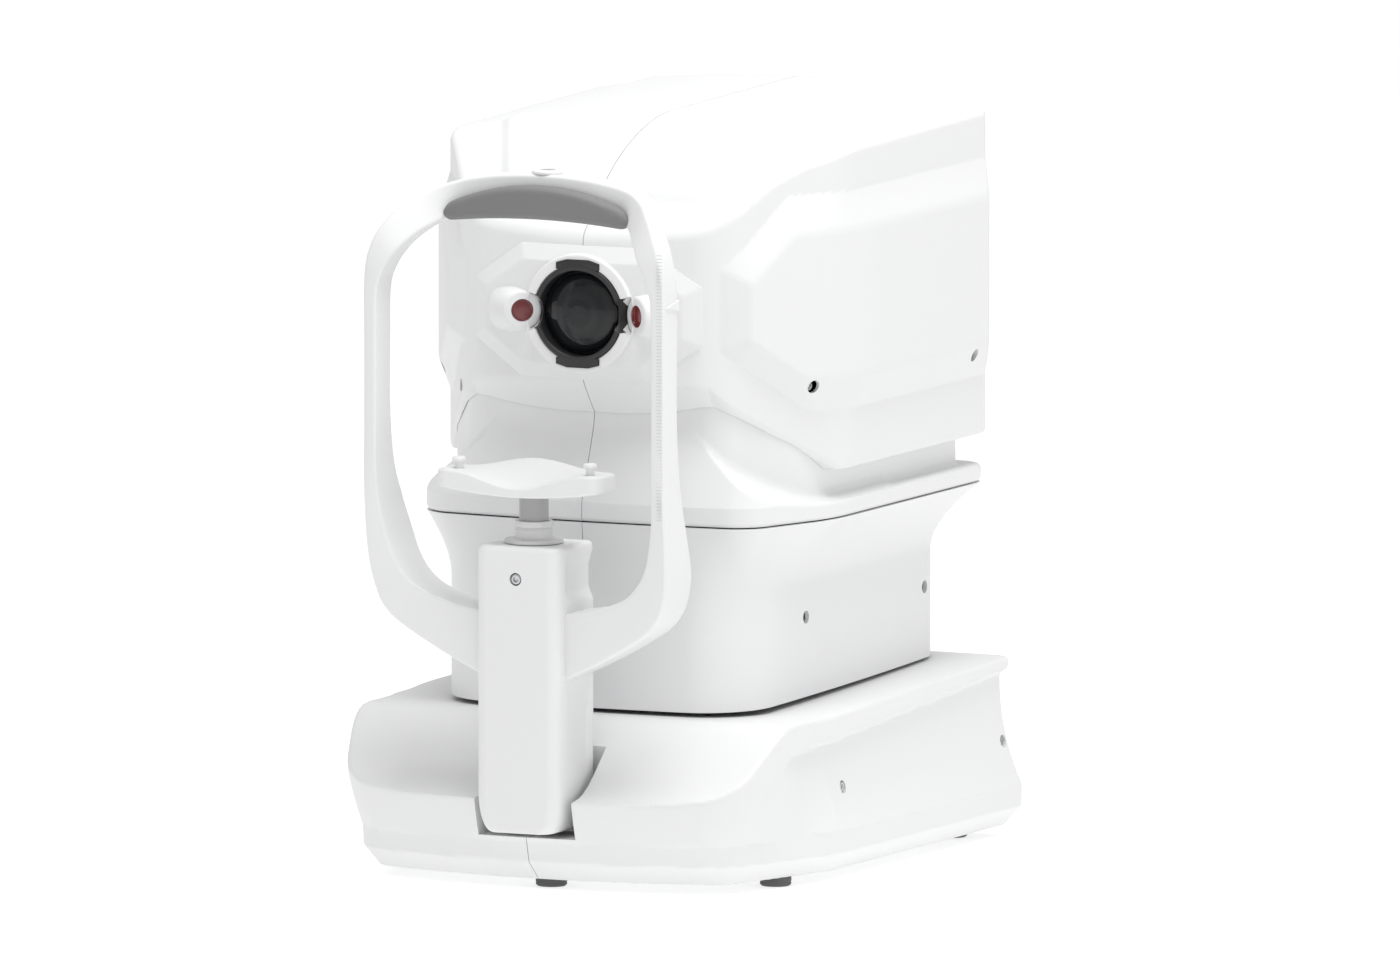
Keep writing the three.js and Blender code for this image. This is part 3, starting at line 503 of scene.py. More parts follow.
def add_bump(tree, shader, height, strength, distance):
    bump = add_node(tree, "ShaderNodeBump", {"Strength": strength, "Distance": distance})
    tree.links.new(height, bump.inputs["Height"])
    tree.links.new(bump.outputs["Normal"], shader.inputs["Normal"])


def rgba(r, g, b):
    return (r, g, b, 1.0)


# %% [markdown]
# ### Moulded plastics
# The covers are injection moulded, with a spark-eroded grain too fine to see from a metre away but enough
# to soften every highlight. Trim pieces use the same idea with a smoother sheen.

# %% Moulded plastic finishes
def moulded(name, colour, second, sheen, grains, depth, dusty=0.05, spread=0.06, strength=0.12, **constants):
    material, tree, shader = new_finish(name, **constants)
    tones = use_group(tree, tone, Colour=colour, Second_colour=second, Sheen=sheen, Sheen_spread=spread)
    settled = use_group(tree, dust, Amount=dusty)
    texture = use_group(tree, grain, Grains_per_metre=grains, Depth=depth)
    tree.links.new(tones.outputs["Colour"], settled.inputs["Colour"])
    tree.links.new(tones.outputs["Roughness"], settled.inputs["Roughness"])
    tree.links.new(settled.outputs["Colour"], shader.inputs["Base Color"])
    tree.links.new(settled.outputs["Roughness"], shader.inputs["Roughness"])
    add_bump(tree, shader, texture.outputs["Height"], strength, 0.0002)
    return material


SHELL_WHITE = rgba(0.80, 0.802, 0.805)
shell_plastic = moulded("satin shell plastic", SHELL_WHITE, rgba(0.79, 0.793, 0.797), 0.46, 1500, 1.0)
trim_plastic = moulded("smooth white trim", rgba(0.82, 0.82, 0.82), rgba(0.81, 0.81, 0.812), 0.33, 2400, 0.5)
black_trim = moulded("black bayonet finish", rgba(0.016, 0.016, 0.018), rgba(0.024, 0.023, 0.024),
                     0.42, 2600, 0.6, dusty=0.02, spread=0.12)
scale_grey = moulded("printed scale grey", rgba(0.66, 0.66, 0.66), rgba(0.63, 0.63, 0.63), 0.6, 2400, 0.5)
rubber = moulded("grey foot rubber", rgba(0.09, 0.09, 0.095), rgba(0.13, 0.13, 0.13), 0.8, 1900, 1.2,
                 dusty=0.3, strength=0.4)
motor_black = moulded("black motor housing", rgba(0.03, 0.03, 0.033), rgba(0.05, 0.05, 0.052), 0.5, 1500, 1.0,
                      dusty=0.1, strength=0.3)
pad_skin = moulded("grey pad skin", rgba(0.205, 0.205, 0.208), rgba(0.185, 0.185, 0.19), 0.62, 2300, 1.3,
                   dusty=0.06, spread=0.14, strength=0.35)
print("plastics:", [m.name for m in bpy.data.materials])


# %% [markdown]
# ### Metals
# Turned and milled parts keep the direction of the tool. The line group is stretched along the axis that
# each part was worked on.

# %% Metal finishes
def machined(name, colour, roughness, stretch, metallic=1.0):
    material, tree, shader = new_finish(name, Metallic=metallic)
    strokes = use_group(tree, lines, Lines_per_metre=2600.0, Stretch_X=stretch[0], Stretch_Y=stretch[1],
                        Stretch_Z=stretch[2], Roughness=roughness, Spread=0.25)
    tones = use_group(tree, tone, Colour=colour, Second_colour=tuple(c * 0.86 for c in colour[:3]) + (1.0,),
                      Patches_per_metre=30.0)
    tree.links.new(tones.outputs["Colour"], shader.inputs["Base Color"])
    tree.links.new(strokes.outputs["Roughness"], shader.inputs["Roughness"])
    add_bump(tree, shader, strokes.outputs["Height"], 0.25, 0.0001)
    return material


steel = machined("ground steel", rgba(0.62, 0.63, 0.64), 0.3, (1, 1, 0.04))
satin_collar = machined("satin turned collar", rgba(0.74, 0.74, 0.74), 0.42, (0.03, 0.03, 1), metallic=0.35)
aluminium = machined("milled aluminium", rgba(0.72, 0.73, 0.74), 0.42, (1, 0.05, 1))
shaft_metal = machined("anodised shaft", rgba(0.42, 0.42, 0.42), 0.36, (1, 1, 0.03), metallic=0.3)


def threaded(name, axis, pitch_mm):
    """A lead screw: the thread is a band pattern along the axis."""
    material, tree, shader = new_finish(name, Metallic=1.0)
    place = add_node(tree, "ShaderNodeTexCoord")
    per_metre = 2 * math.pi * 1000 / (20 * pitch_mm)
    bands = add_node(tree, "ShaderNodeTexWave", {"Scale": per_metre}, bands_direction=axis)
    tree.links.new(place.outputs["Object"], bands.inputs["Vector"])
    tones = use_group(tree, tone, Colour=rgba(0.6, 0.6, 0.61), Second_colour=rgba(0.5, 0.5, 0.52), Sheen=0.28,
                      Sheen_spread=0.2)
    tree.links.new(tones.outputs["Colour"], shader.inputs["Base Color"])
    tree.links.new(tones.outputs["Roughness"], shader.inputs["Roughness"])
    add_bump(tree, shader, bands.outputs["Fac"], 0.8, 0.0006)
    return material


thread_x, thread_y, thread_z = (threaded(f"lead screw along {a}", a, 3.0) for a in "XYZ")


# %% [markdown]
# ### Optics, lamps and boards
# The objective is dark coated glass, nearly black, with faint lighter rings painted into its colour: painted
# reflections that stand for light caught where the lens cells step back inside.
# The lamp windows are deep red filters. A circuit board is green lacquer over a lattice of tracks.

# %% Optics and boards
LENS_CENTRE = (0.0, 66.0, 371.5)      # x, y, z of the objective's front


def glass_with_painted_rings(name, centre, colours, rings_per_metre, **constants):
    """Dark glass with painted reflection rings about an axis that runs front to back."""
    material, tree, shader = new_finish(name, **constants)
    place = add_node(tree, "ShaderNodeTexCoord")
    shift = add_node(tree, "ShaderNodeMapping", vector_type="POINT")
    middle = to_frame(centre)
    shift.inputs["Location"].default_value = (-middle[0], 0.0, -middle[2])
    shift.inputs["Scale"].default_value = (1.0, 0.0, 1.0)
    far = add_node(tree, "ShaderNodeVectorMath", operation="LENGTH")
    tree.links.new(place.outputs["Object"], shift.inputs["Vector"])
    tree.links.new(shift.outputs["Vector"], far.inputs[0])
    # The lighter rings are painted reflection: colour that stands in for light caught by the stepped lens
    # cells.
    phase = add_math(tree, "MULTIPLY", far.outputs["Value"], rings_per_metre * 2 * math.pi)
    turns = add_math(tree, "SINE", phase)
    steps = add_math(tree, "MULTIPLY_ADD", turns, 0.5, 0.5)
    cloud = add_node(tree, "ShaderNodeTexNoise", {"Scale": 90.0, "Detail": 3.0})
    tree.links.new(place.outputs["Object"], cloud.inputs["Vector"])
    mask = add_math(tree, "MULTIPLY", steps, cloud.outputs["Fac"], clamped=True)
    tree.links.new(blend_colour(tree, mask, *colours), shader.inputs["Base Color"])
    return material


# The faint lighter rings in this glass are painted reflections, not part of its colour.
coated_glass = glass_with_painted_rings("coated objective glass", LENS_CENTRE,
                            (rgba(0.006, 0.007, 0.008), rgba(0.02, 0.021, 0.023)),
                            110, Roughness=0.14, IOR=1.38, Coat_Weight=0.15, Coat_Roughness=0.03)
lamp_red = moulded("red lamp filter", rgba(0.12, 0.012, 0.014), rgba(0.2, 0.022, 0.022), 0.16, 2600, 0.3,
                   dusty=0.0, spread=0.08, strength=0.05, Coat_Weight=0.4, Coat_Roughness=0.05)

board_green, tree, shader = new_finish("circuit board", Coat_Weight=0.5, Coat_Roughness=0.2)
place = add_node(tree, "ShaderNodeTexCoord")
track_values = {"Scale": 120.0, "Mortar Size": 0.03, "Color1": rgba(0.015, 0.11, 0.045),
                "Color2": rgba(0.02, 0.14, 0.06), "Mortar": rgba(0.35, 0.27, 0.08)}
tracks = add_node(tree, "ShaderNodeTexBrick", track_values)
tree.links.new(place.outputs["Object"], tracks.inputs["Vector"])
tree.links.new(tracks.outputs["Color"], shader.inputs["Base Color"])
lacquer = use_group(tree, grain, Grains_per_metre=900.0, Depth=0.5)
add_bump(tree, shader, lacquer.outputs["Height"], 0.2, 0.0003)
sheen = use_group(tree, tone, Sheen=0.35, Sheen_spread=0.2)
tree.links.new(sheen.outputs["Roughness"], shader.inputs["Roughness"])
FINISH_OF_SLOT = {
    "shell": shell_plastic, "white_trim": trim_plastic, "black_trim": black_trim, "pad": pad_skin,
    "steel": steel, "aluminium": aluminium, "rubber": rubber, "lens_glass": coated_glass,
    "lamp_window": lamp_red,
    "motor_black": motor_black, "board": board_green,
}
print("finishes:", sorted(m.name for m in bpy.data.materials))


# %% [markdown]
# ## Finishing a piece
# Every finished piece does the same things: it takes a material, picked by its slot unless one is given,
# rides on a CAD body, and hides the CAD nodes that it stands for.

# %% Finish a piece
def finish(piece, body, slot, *nodes, material=None):
    piece.data.materials.clear()
    piece.data.materials.append(material or FINISH_OF_SLOT[slot])
    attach(piece, body)
    if nodes:
        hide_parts(*nodes)
    print(f"{piece.name}: {len(piece.data.polygons)} faces on {body}")
    return piece


# %% [markdown]
# ## Head covers
# The head is one big moulding in two halves. Its plan is an arc with two facets and straight sides. The
# front wall stops at a brow, the hood slopes up from there to a nearly flat top with a raised middle
# panel, and each side carries a shallow blister. Modelling it by hand with subdivision would need every
# crease placed by eye, so it is a field and a fine grid.

# %% Head field
CHIN_EDGE, HEAD_BOTTOM = 326.5, 265.0


def head_plan(x, y):
    ax = np.abs(x)
    front = np.where(y < 300, arc_wall(x, y, 66, 373), -50)
    facet = line_wall(ax, y, 92, 77, 59.4)
    return meet(meet(meet(front, facet, 13), ax - 143.5, 6), y - 394, 20)


def blister_layer(y, z, wall):
    lift = 9.0

    def bevel(edge, width):
        return (edge + width * (wall / lift) - width) / math.hypot(1, width / lift)

    edges = [bevel(z - 424, 24), bevel(327 - z, 22), bevel(91 - y, 9), bevel(y - 366, 14),
             bevel(-0.725 * (y - 102) + 0.69 * (z - 404), 14), bevel(-0.6 * (y - 101) - 0.8 * (z - 348), 12)]
    layer = wall - lift
    for edge in edges:
        layer = meet(layer, edge, 1.2)
    return layer


def chin_line(x, y):
    ax = np.abs(x)
    swoop = np.minimum(CHIN_EDGE - 0.05 * ax, 309.8 - 1.03 * (ax - 97.4))
    return np.where(y < 230, np.maximum(swoop, HEAD_BOTTOM), HEAD_BOTTOM)


def head_field(x, y, z):
    ax = np.abs(x)
    plan = head_plan(x, y)
    wall = np.minimum(plan, blister_layer(y, z, plan))
    slope = (z - 422.5 - 0.8 * (y - 66) + x * x / 3500) * 0.78
    top = z - 486.5 - 0.0124 * (y - 178) + x * x / 1900
    panel_half = 70.5 + 38.5 * clamp((y - 96) / 82)
    rise = 3 * smooth((np.minimum(panel_half - ax, y - 94) + 4) / 8)
    hood = meet(slope, top, 30) - rise
    floor = np.maximum(chin_line(x, y) + 1.26 * np.minimum(plan, 0), HEAD_BOTTOM)
    return meet(meet(wall, hood, 4), (floor - z) * 0.8, 3)


def head_inside(x, y, z):
    return np.maximum(head_field(x, y, z + WALL), head_field(x, y, z)) + WALL


# %% Collar and neck fields, used by the head's opening too
def rim_plan(x, y):
    ax = np.abs(x)
    front = np.where(y < 300, arc_wall(x, y, 64, 900), -50)
    return meet(meet(meet(front, line_wall(ax, y, 120, 78, 71), 16), ax - 144, 8), y - 391, 26)


def neck_plan(x, y):
    ax = np.abs(x)
    front = meet(84 - y, line_wall(ax, y, 92, 88, 55), 10)
    return meet(meet(front, ax - 129, 10), y - 379, 20)


RIM_BOTTOM, NECK_TOP = 234.5, 312.0


def collar_field(x, y, z):
    ax = np.abs(x)
    lean = np.maximum(z - 247, 0) / 2.6 + np.maximum(RIM_BOTTOM + 2 - z, 0)
    crest = 245 + 46 * np.maximum((141 - ax) / 65, 0) ** 1.5
    apron = meet(rim_plan(x, y) + lean, (z - np.where(y < 250, crest, 245)) * 0.7, 2)
    return -meet(-apron, -neck_plan(x, y), 3)


# %% Head covers
WALL = 3.0
CELL = 2.4
around_head = outline(143.5, 66, 394, 4)
head = pulled_shell("head", head_field, (-152.5, 66, 265), (152.5, 394, 491), (0, 230, 380), CELL)
cavity = pulled_shell("cutter", head_inside, (-149, 69, 268), (149, 391, 487), (0, 230, 380), 7)
neck_hole = stack("cutter", lambda x, y, z: neck_plan(x, y) - 0.35, [250, 340], around_head, 230)
apron_hole = stack("cutter", lambda x, y, z: collar_field(x, y, z) - 0.6, np.linspace(240, 320, 41),
                   around_head, 230)
cut(apron_hole, block((-110, 70, 250), (110, 140, 318)), operation="INTERSECT")
lens_hole = plug((0, 60, 371.5), (0, 1, 0), 42, 30, 96)
cut(head, cavity, neck_hole, apron_hole, lens_hole)
print("head:", len(head.data.polygons), "faces")

# %% [markdown]
# ## Cover screws
# Each cover is held by cap screws at the bottom of plain round recesses. The recess is cut along the
# surface's own normal, and its place and direction are kept for the screws that are made later.

# %% Screw recesses
RECESS_RADIUS, RECESS_DEPTH = 4.3, 9.0
screw_places = {"head": [], "tower": [], "base": []}


def recess(body, point, normal):
    """A cutter for one recess; it also remembers where its screw goes."""
    direction = np.array(normal, float) / np.linalg.norm(normal)
    middle = np.array(point, float)
    screw_places[body].append((middle - direction * RECESS_DEPTH * 0.8, direction))
    return plug(middle, direction, RECESS_RADIUS, RECESS_DEPTH, 32)


def mirrored(places):
    return places + [((-x, y, z), (-nx, ny, nz)) for (x, y, z), (nx, ny, nz) in places]


HEAD_SCREWS = mirrored([((133.8, 134.8, 322.1), (0.86, -0.51, 0)), ((149.7, 349.1, 320.2), (1, 0, 0))])
HEAD_SCREWS.append(((-100.3, 91.3, 315.9), (-0.81, -0.58, 0)))
for place in HEAD_SCREWS:
    cut(head, recess("head", *place))
head_left, head_right = halves(head, "head_cover")
for side, piece in (("left", head_left), ("right", head_right)):
    finish(piece, "head", "shell", f"head_cover_{side}")
    shade_by_field(piece, head_field)

# %% [markdown]
# ## Collar covers
# Under the head sits a collar: a rim that overhangs the tower, an apron that sweeps up under the chin,
# and a recessed neck behind it. Horizontal outlines follow it well, with many of them near the shoulder
# where the outline jumps inwards.

# %% Collar covers
collar_levels = np.concatenate([[RIM_BOTTOM, 235.2, 236, 237, 240, 242], np.linspace(243, 246, 31),
                                np.linspace(246.5, NECK_TOP, 70)])
around_collar = outline(135, 64, 391, 3)
collar = stack("collar", collar_field, collar_levels, around_collar, 227.5)
hollow = stack("cutter", lambda x, y, z: collar_field(x, y, z) + WALL + 10, [232, 240, 262, 314],
               around_collar, 227.5)
throat = stack("cutter", lambda x, y, z: neck_plan(x, y) + WALL, [231, 316], around_collar, 227.5)
cut(collar, hollow, throat)
for side, piece in zip(("left", "right"), halves(collar, "collar_cover")):
    finish(piece, "head", "shell", f"collar_cover_{side}")
    shade_by_field(piece, collar_field)

# %% [markdown]
# ## Tower covers
# The tower is a tall bowed box with big round corners that flares out under the rim. Its lower edge
# follows the slope of the deck. It is open at both ends, so it is an outer skin less an inner one.

# %% Tower covers
def tower_field(x, y, z):
    ax = np.abs(x)
    bowed = ax + ((y - 230) / 160) ** 2 * 4 - 4
    walls = meet(meet(68 + x * x / 2400 - y, bowed - 112, 40), y - 390, 40)
    spread = clamp((z - 190) / 44) ** 1.7
    return walls * (1 - spread) + rim_plan(x, y) * spread


def tower_foot(level, x, y):
    return 111.5 + (y - 68) * 8 / 322 if level < 120 else np.full_like(x, level)


around_tower = outline(112, 68, 390, 3)
tower = stack("tower", tower_field, [112, *np.linspace(122, 185, 12), *np.linspace(190, 233.6, 40)],
              around_tower, 229, tower_foot)
shaft = stack("cutter", lambda x, y, z: tower_field(x, y, z) + WALL, [100, *np.linspace(185, 236, 18)],
              around_tower, 229)
cut(tower, shaft)
for place in mirrored([((115.3, 163.2, 166.4), (1, 0, 0)), ((113.8, 348.5, 165.5), (1, 0, 0))]):
    cut(tower, recess("tower", *place))
for side, piece in zip(("left", "right"), halves(tower, "tower_cover")):
    finish(piece, "tower", "shell", f"tower_cover_{side}")
    shade_by_field(piece, tower_field)

# %% [markdown]
# ## Base covers
# The base is low at the toe, where the post stands in a recess, and climbs to a flat deck under the
# tower. Its sides are pinched below the deck, so a band stands out along the edge.

# %% Base field and covers
def deck(y):
    return 62 + 46.5 * smooth((y + 20) / 80) + 9 * clamp((y - 110) / 280)


def base_plan(x, y, z):
    ax = np.abs(x)
    flare = 9.5 * (1 - (1 - clamp((z - 33) / 40)) ** 1.4) * (1 - smooth((y - 40) / 90))
    toe = -20 + np.maximum(34 - z, 0) * 0.25
    front = np.where(y < 200, np.hypot(x, y - toe - 380) - 380 - flare, -50)
    facet = line_wall(ax, y, 137, 18, 73) - flare
    band = 66.5 + 20.5 * smooth((y - 17) / 57) + 0.0615 * np.maximum(y - 74, 0)
    pinch = 1 - (1 - clamp((z - 34) / (band - 34))) ** 2.2
    taper = 13 * pinch - 5 * smooth((z - band) / 5)
    side = meet(facet, ax - 166, 4) + taper * smooth((y - 30) / 60)
    return meet(meet(front, side, 16), y - 398 + taper * 0.5, 14) + np.maximum(19.5 - z, 0) * 0.92


def base_inside(x, y, z):
    return np.maximum(meet(base_plan(x, y, z), z - deck(y), 3) + WALL, 3.5 - z)


def base_field(x, y, z):
    return np.maximum(meet(base_plan(x, y, z), (z - deck(y)) * 0.86, 2.4), 6.5 - z)


base = pulled_shell("base", base_field, (-166, -31, 6.5), (166, 398, 117.6), (0, 190, 60), CELL)
inside = pulled_shell("cutter", base_inside, (-163, -18, 3.5), (163, 395, 114), (0, 190, 58), 7)
cut(base, inside)
pocket_wall = block((-38, -60, 33), (38, 31, 200))
solid_base = pulled_shell("cutter", base_field, (-166, -31, 6.5), (166, 398, 117.6), (0, 190, 60), 6)
cut(pocket_wall, solid_base, operation="INTERSECT")
cut(base, pocket_wall, operation="UNION")
cut(base, block((-35, -60, 36), (35, 28, 200)), block((-62, 100, 60), (62, 356, 200)),
    block((-112, 380, 24), (-60, 420, 60)), plug((0, 8, 30), (0, 0, 1), 9.4, 12))
for place in mirrored([((161, 132.4, 60.2), (1, 0, 0)), ((160.3, 377.2, 62.6), (1, 0, 0))]):
    cut(base, recess("base", *place))
for side, piece in zip(("left", "right"), halves(base, "base_cover")):
    finish(piece, "base", "shell", f"base_cover_{side}")
    shade_by_field(piece, base_field)

# %% [markdown]
# ## Nose plate
# Round the objective is an eight-sided plate with a wide bevel, and on it two pods that carry the
# fixation lamps. It is a height over the head's front wall, drawn on a grid that runs out from the ring
# to the eight-sided edge, so both edges are clean.

# %% Nose plate
LENS_Z = 371.5


def wall_y(x):
    """Front wall of the head."""
    return 66 + 373 - np.sqrt(373 ** 2 - x * x)


def octagon_gap(x, z, half_width=81.5, half_height=44.0, flat=45.0, tall=19.5):
    """Distance inside the eight-sided edge, below zero outside it."""
    ax, az = np.abs(x), np.abs(z)
    dx, dz = half_width - flat, half_height - tall
    slant = (dx * dz - (ax - flat) * dz - (az - tall) * dx) / math.hypot(dx, dz)
    return np.minimum(np.minimum(half_width - ax, half_height - az), slant)


def nose_height(x, z):
    """Height of the plate over the wall: a flat face inside a wide bevel."""
    return -meet(-(1.0 + octagon_gap(x, z) * 0.46), np.full_like(x, -5.8), 0.6)


around, out = 288, 34
angles = np.linspace(0, 2 * math.pi, around, endpoint=False)
direction = np.stack([np.cos(angles), np.sin(angles)], -1)
edge = np.zeros(around)
for i, (cx, cz) in enumerate(direction):
    radii = np.linspace(38, 110, 1500)
    edge[i] = radii[np.argmax(octagon_gap(cx * radii, cz * radii) < 0)]
rows = []
for t in np.linspace(0, 1, out):
    radius = 38.35 + (edge - 38.35) * t
    x, z = direction[:, 0] * radius, direction[:, 1] * radius
    rows.append(np.stack([x, wall_y(x) - nose_height(x, z), z + LENS_Z], -1))
skirt_out = rows[-1].copy()
skirt_out[:, 1] = wall_y(skirt_out[:, 0]) + 1.0
skirt_in = rows[0].copy()
skirt_in[:, 1] = wall_y(skirt_in[:, 0]) + 1.0
nose = tidy(loft("nose_plate_skin", [skirt_in, *rows, skirt_out], closed=True))

# %% Lamp pods, blended cones that look at the patient's eye
LAMP_TILT = math.radians(35.5)
LAMPS = {"left": -1, "right": 1}


def lamp_axis(side):
    return (-side * math.sin(LAMP_TILT), -math.cos(LAMP_TILT), 0)


def lamp_place(side):
    return (side * 41.0, 60.1, LENS_Z)


pod_profile = rounded([(0, 0), (12.6, 0), (20, -19), (0, -19)], 1.8, bits=6)
for side in LAMPS.values():
    pod = turned("pod", pod_profile, lamp_place(side), lamp_axis(side), 96)
    cut(pod, plug((0, 90, LENS_Z), (0, 1, 0), 31.4, 80, 144))
    cut(nose, pod, operation="UNION")
for side in LAMPS.values():
    cut(nose, plug(lamp_place(side), lamp_axis(side), 7.4, 4, 64))
finish(nose, "head", "shell", "nose_plate")
shade(nose, 40)

# %% [markdown]
# ## Objective, bayonet and lamps
# The objective sits in a white ring. Inside it is a black bayonet with four tabs, then the dark glass.
# All are profiles turned about the line of sight.

# %% Objective ring and bayonet
FORWARD = (0, -1, 0)
ring_profile = rounded([(32.1, 54), (35.8, 54), (35.8, 30), (38.0, 30), (39.3, 56), (39.3, 67), (38.4, 68),
                        (32.6, 68), (32.1, 67.4)], 0.5, True)
POD_ROOM = [(0, 16), (13.2, 16), (13.2, 0), (24.6, -30), (0, -30)]     # what ring and bayonet leave for a pod
ring = turned("objective_ring_skin", ring_profile, (0, 126, LENS_Z), FORWARD, 144, closed=True)
TAB_HALF_WIDTHS = (15.4, 11.0, 15.4, 11.0)     # top, side, bottom, side


def tab_block(turn, half, reach_to, y0, y1):
    """A block with parallel sides that stands out from the bayonet ring at one of its four places."""
    corners = [(-half, 29), (half, 29), (half, reach_to), (half * 0.5, reach_to + 2.2),
               (-half * 0.5, reach_to + 2.2), (-half, reach_to)]
    c, s = math.cos(turn), math.sin(turn)
    flat = np.array([(x * c - z * s, 0, x * s + z * c) for x, z in corners])
    return tidy(loft("cutter", [flat + (0, y, LENS_Z) for y in (y1, y0)]))


for turn, half in enumerate(TAB_HALF_WIDTHS):
    cut(ring, tab_block(math.radians(90 * turn), half + 0.3, 33.4, 56, 62.4))
for side in LAMPS.values():
    cut(ring, turned("cutter", POD_ROOM, lamp_place(side), lamp_axis(side), 64))
finish(ring, "head", "white_trim", "objective_ring")
shade(ring, 40)

bayonet_profile = rounded([(28.2, 47), (28.2, 69.2), (28.9, 70), (31.2, 70), (31.8, 69.4), (31.8, 47)],
                          0.4, True)
bayonet = turned("bayonet_ring_skin", bayonet_profile, (0, 127, LENS_Z), FORWARD, 144, closed=True)
for turn, half in enumerate(TAB_HALF_WIDTHS):
    cut(bayonet, tab_block(math.radians(90 * turn), half, 33.2, 57.2, 61.6), operation="UNION")
for side in LAMPS.values():
    cut(bayonet, turned("cutter", POD_ROOM, lamp_place(side), lamp_axis(side), 64))
bevel = bayonet.modifiers.new("edges", "BEVEL")
bevel.width, bevel.segments, bevel.limit_method, bevel.angle_limit = 0.0004, 2, "ANGLE", math.radians(50)
bake(bayonet)
finish(bayonet, "head", "black_trim", "bayonet_ring")
shade(bayonet, 40)

# %% Objective glass with its inner cell
glass_profile = [(0, 6.6), (6, 6.3), (12, 5.4), (17, 4.0), (21.5, 2.1), (25.4, 0.0), (25.4, -1.0),
                 (27.6, -1.4), (27.6, -12), (0, -12)]
glass = turned("objective_lens_skin", rounded(glass_profile, 0.8), (0, 65.5, LENS_Z), FORWARD, 128)
finish(glass, "head", "lens_glass", "objective_lens")
shade(glass, 40)
for name, side in LAMPS.items():
    profile = rounded([(0, -0.7), (3.0, -0.9), (6.1, -1.5), (6.3, -0.5), (7.2, -0.5), (7.2, -4), (0, -4)],
                      0.25)
    window = turned(f"lamp_window_{name}_skin", profile, lamp_place(side), lamp_axis(side), 48)
    finish(window, "head", "lamp_window", f"lamp_window_{name}")
    shade(window, 40)

# %% [markdown]
# ## Hoop
# The forehead hoop is one moulding that leaves the post on both sides, climbs past the patient's face and
# closes over the head. Its section changes all the way, so it is a list of stations with a smooth curve
# through them and a rounded section at each.

# %% Hoop
HOOP = [    # outer x, z; inner x, z; front and rear y
    (29, 140.6, 29, 184.4, -24, 14), (58, 155, 50, 188, -25, 13), (87, 172, 70, 195, -27, 11),
    (99, 184, 82, 204, -30, 10), (104.5, 198, 90, 217, -32, 9), (107, 214, 95, 235, -35, 6),
    (108, 235, 98, 256, -38, -2), (108, 267, 99, 280, -41, -12), (108, 310, 99, 315, -41, -17),
    (108, 360, 99, 360, -41, -17), (108, 398, 98.5, 392, -41, -17), (105.5, 418, 94, 407, -40, -17),
    (99, 434, 86, 420, -35, -13), (88, 448, 77, 430, -23, -3), (75, 457, 67, 437, -8, 10),
    (60, 462.5, 56, 441, 1, 18), (40, 466.5, 38, 443.5, 2, 20), (20, 468.5, 19, 445, 2, 22),
    (0, 469, 0, 445.5, 2, 22)]


def through(stations, pieces):
    """Catmull-Rom curve through rows of numbers."""
    rows = np.array(stations, float)
    padded = np.vstack([2 * rows[0] - rows[1], rows, 2 * rows[-1] - rows[-2]])
    result = []
    for i in range(1, len(padded) - 2):
        a, b, c, d = padded[i - 1:i + 3]
        for t in np.linspace(0, 1, pieces, endpoint=False):
            result.append(0.5 * (2 * b + (c - a) * t + (2 * a - 5 * b + 4 * c - d) * t * t
                                 + (3 * b - a - 3 * c + d) * t ** 3))
    result.append(rows[-1])
    return np.array(result)


mirror = [(-a, b, -c, d, e, f) for a, b, c, d, e, f in HOOP[-2::-1]]
sections = []
for ox, oz, ix, iz, y0, y1 in through(HOOP + mirror, 8):
    depth, thick = y1 - y0, math.hypot(ox - ix, oz - iz)
    square = rounded([(0, 0), (depth, 0), (depth, thick), (0, thick)], 2.6, True, 5)
    s, t = square[:, :1] / depth, square[:, 1:] / thick
    outer, inner = np.array([ox, oz]), np.array([ix, iz])
    xz = outer + (inner - outer) * t
    sections.append(np.concatenate([xz[:, :1], y0 + depth * s, xz[:, 1:]], 1))
hoop = tidy(loft("headrest_hoop_skin", sections))
cut(hoop, plug((0, 12, 460), (0, 0, 1), 5.2, 30, 48))
finish(hoop, "base", "shell", "headrest_hoop")
shade(hoop, 40)
bush_profile = rounded([(5.2, 0), (10.3, 0), (10.3, 1.8), (8.4, 2.7), (5.2, 2.7)], 0.5, True)
bush = turned("hoop_bush_skin", bush_profile, (0, 12, 468.85), (0, 0, 1), 64, closed=True)
finish(bush, "base", "white_trim", "hoop_bush")
shade(bush, 40)

# %% [markdown]
# ## Forehead pad
# The pad is a crowned, skinned foam moulding: a lens-shaped outline with a curved top and a flatter
# bottom, pressed flat where it meets the hoop. Foam under a tight skin has no folds, so its rounded form
# is written down as a field, with a large radius on the face side and a small one against the hoop.

# %% Forehead pad
PAD_HALF = 68.0


def pad_field(x, y, z):
    ax = np.abs(x)
    upper = z - (462.4 - 0.0034 * x * x)
    lower = (440.6 - 0.0010 * x * x) - z
    outline_xz = meet(meet(upper, lower, 6), ax - PAD_HALF, 8)
    back = y - (1.6 - 0.9 * smooth((ax - 45) / 25) * 6)
    front = (-11.0 + 0.0006 * x * x) - y
    return meet(meet(outline_xz, front, 4.5), back, 1.0)


pad = pulled_shell("forehead_pad_skin", pad_field, (-PAD_HALF, -11, 437), (PAD_HALF, 1.6, 462.4),
                   (0, -5, 451), 1.8)
shade(pad, 60)
finish(pad, "base", "pad", "forehead_pad")

# %% [markdown]
# ## Chin-rest post
# The post is a hollow moulding with rounded edges. Each side has a long scooped relief that runs down to
# the arm of the hoop and leaves a rib at the rear.

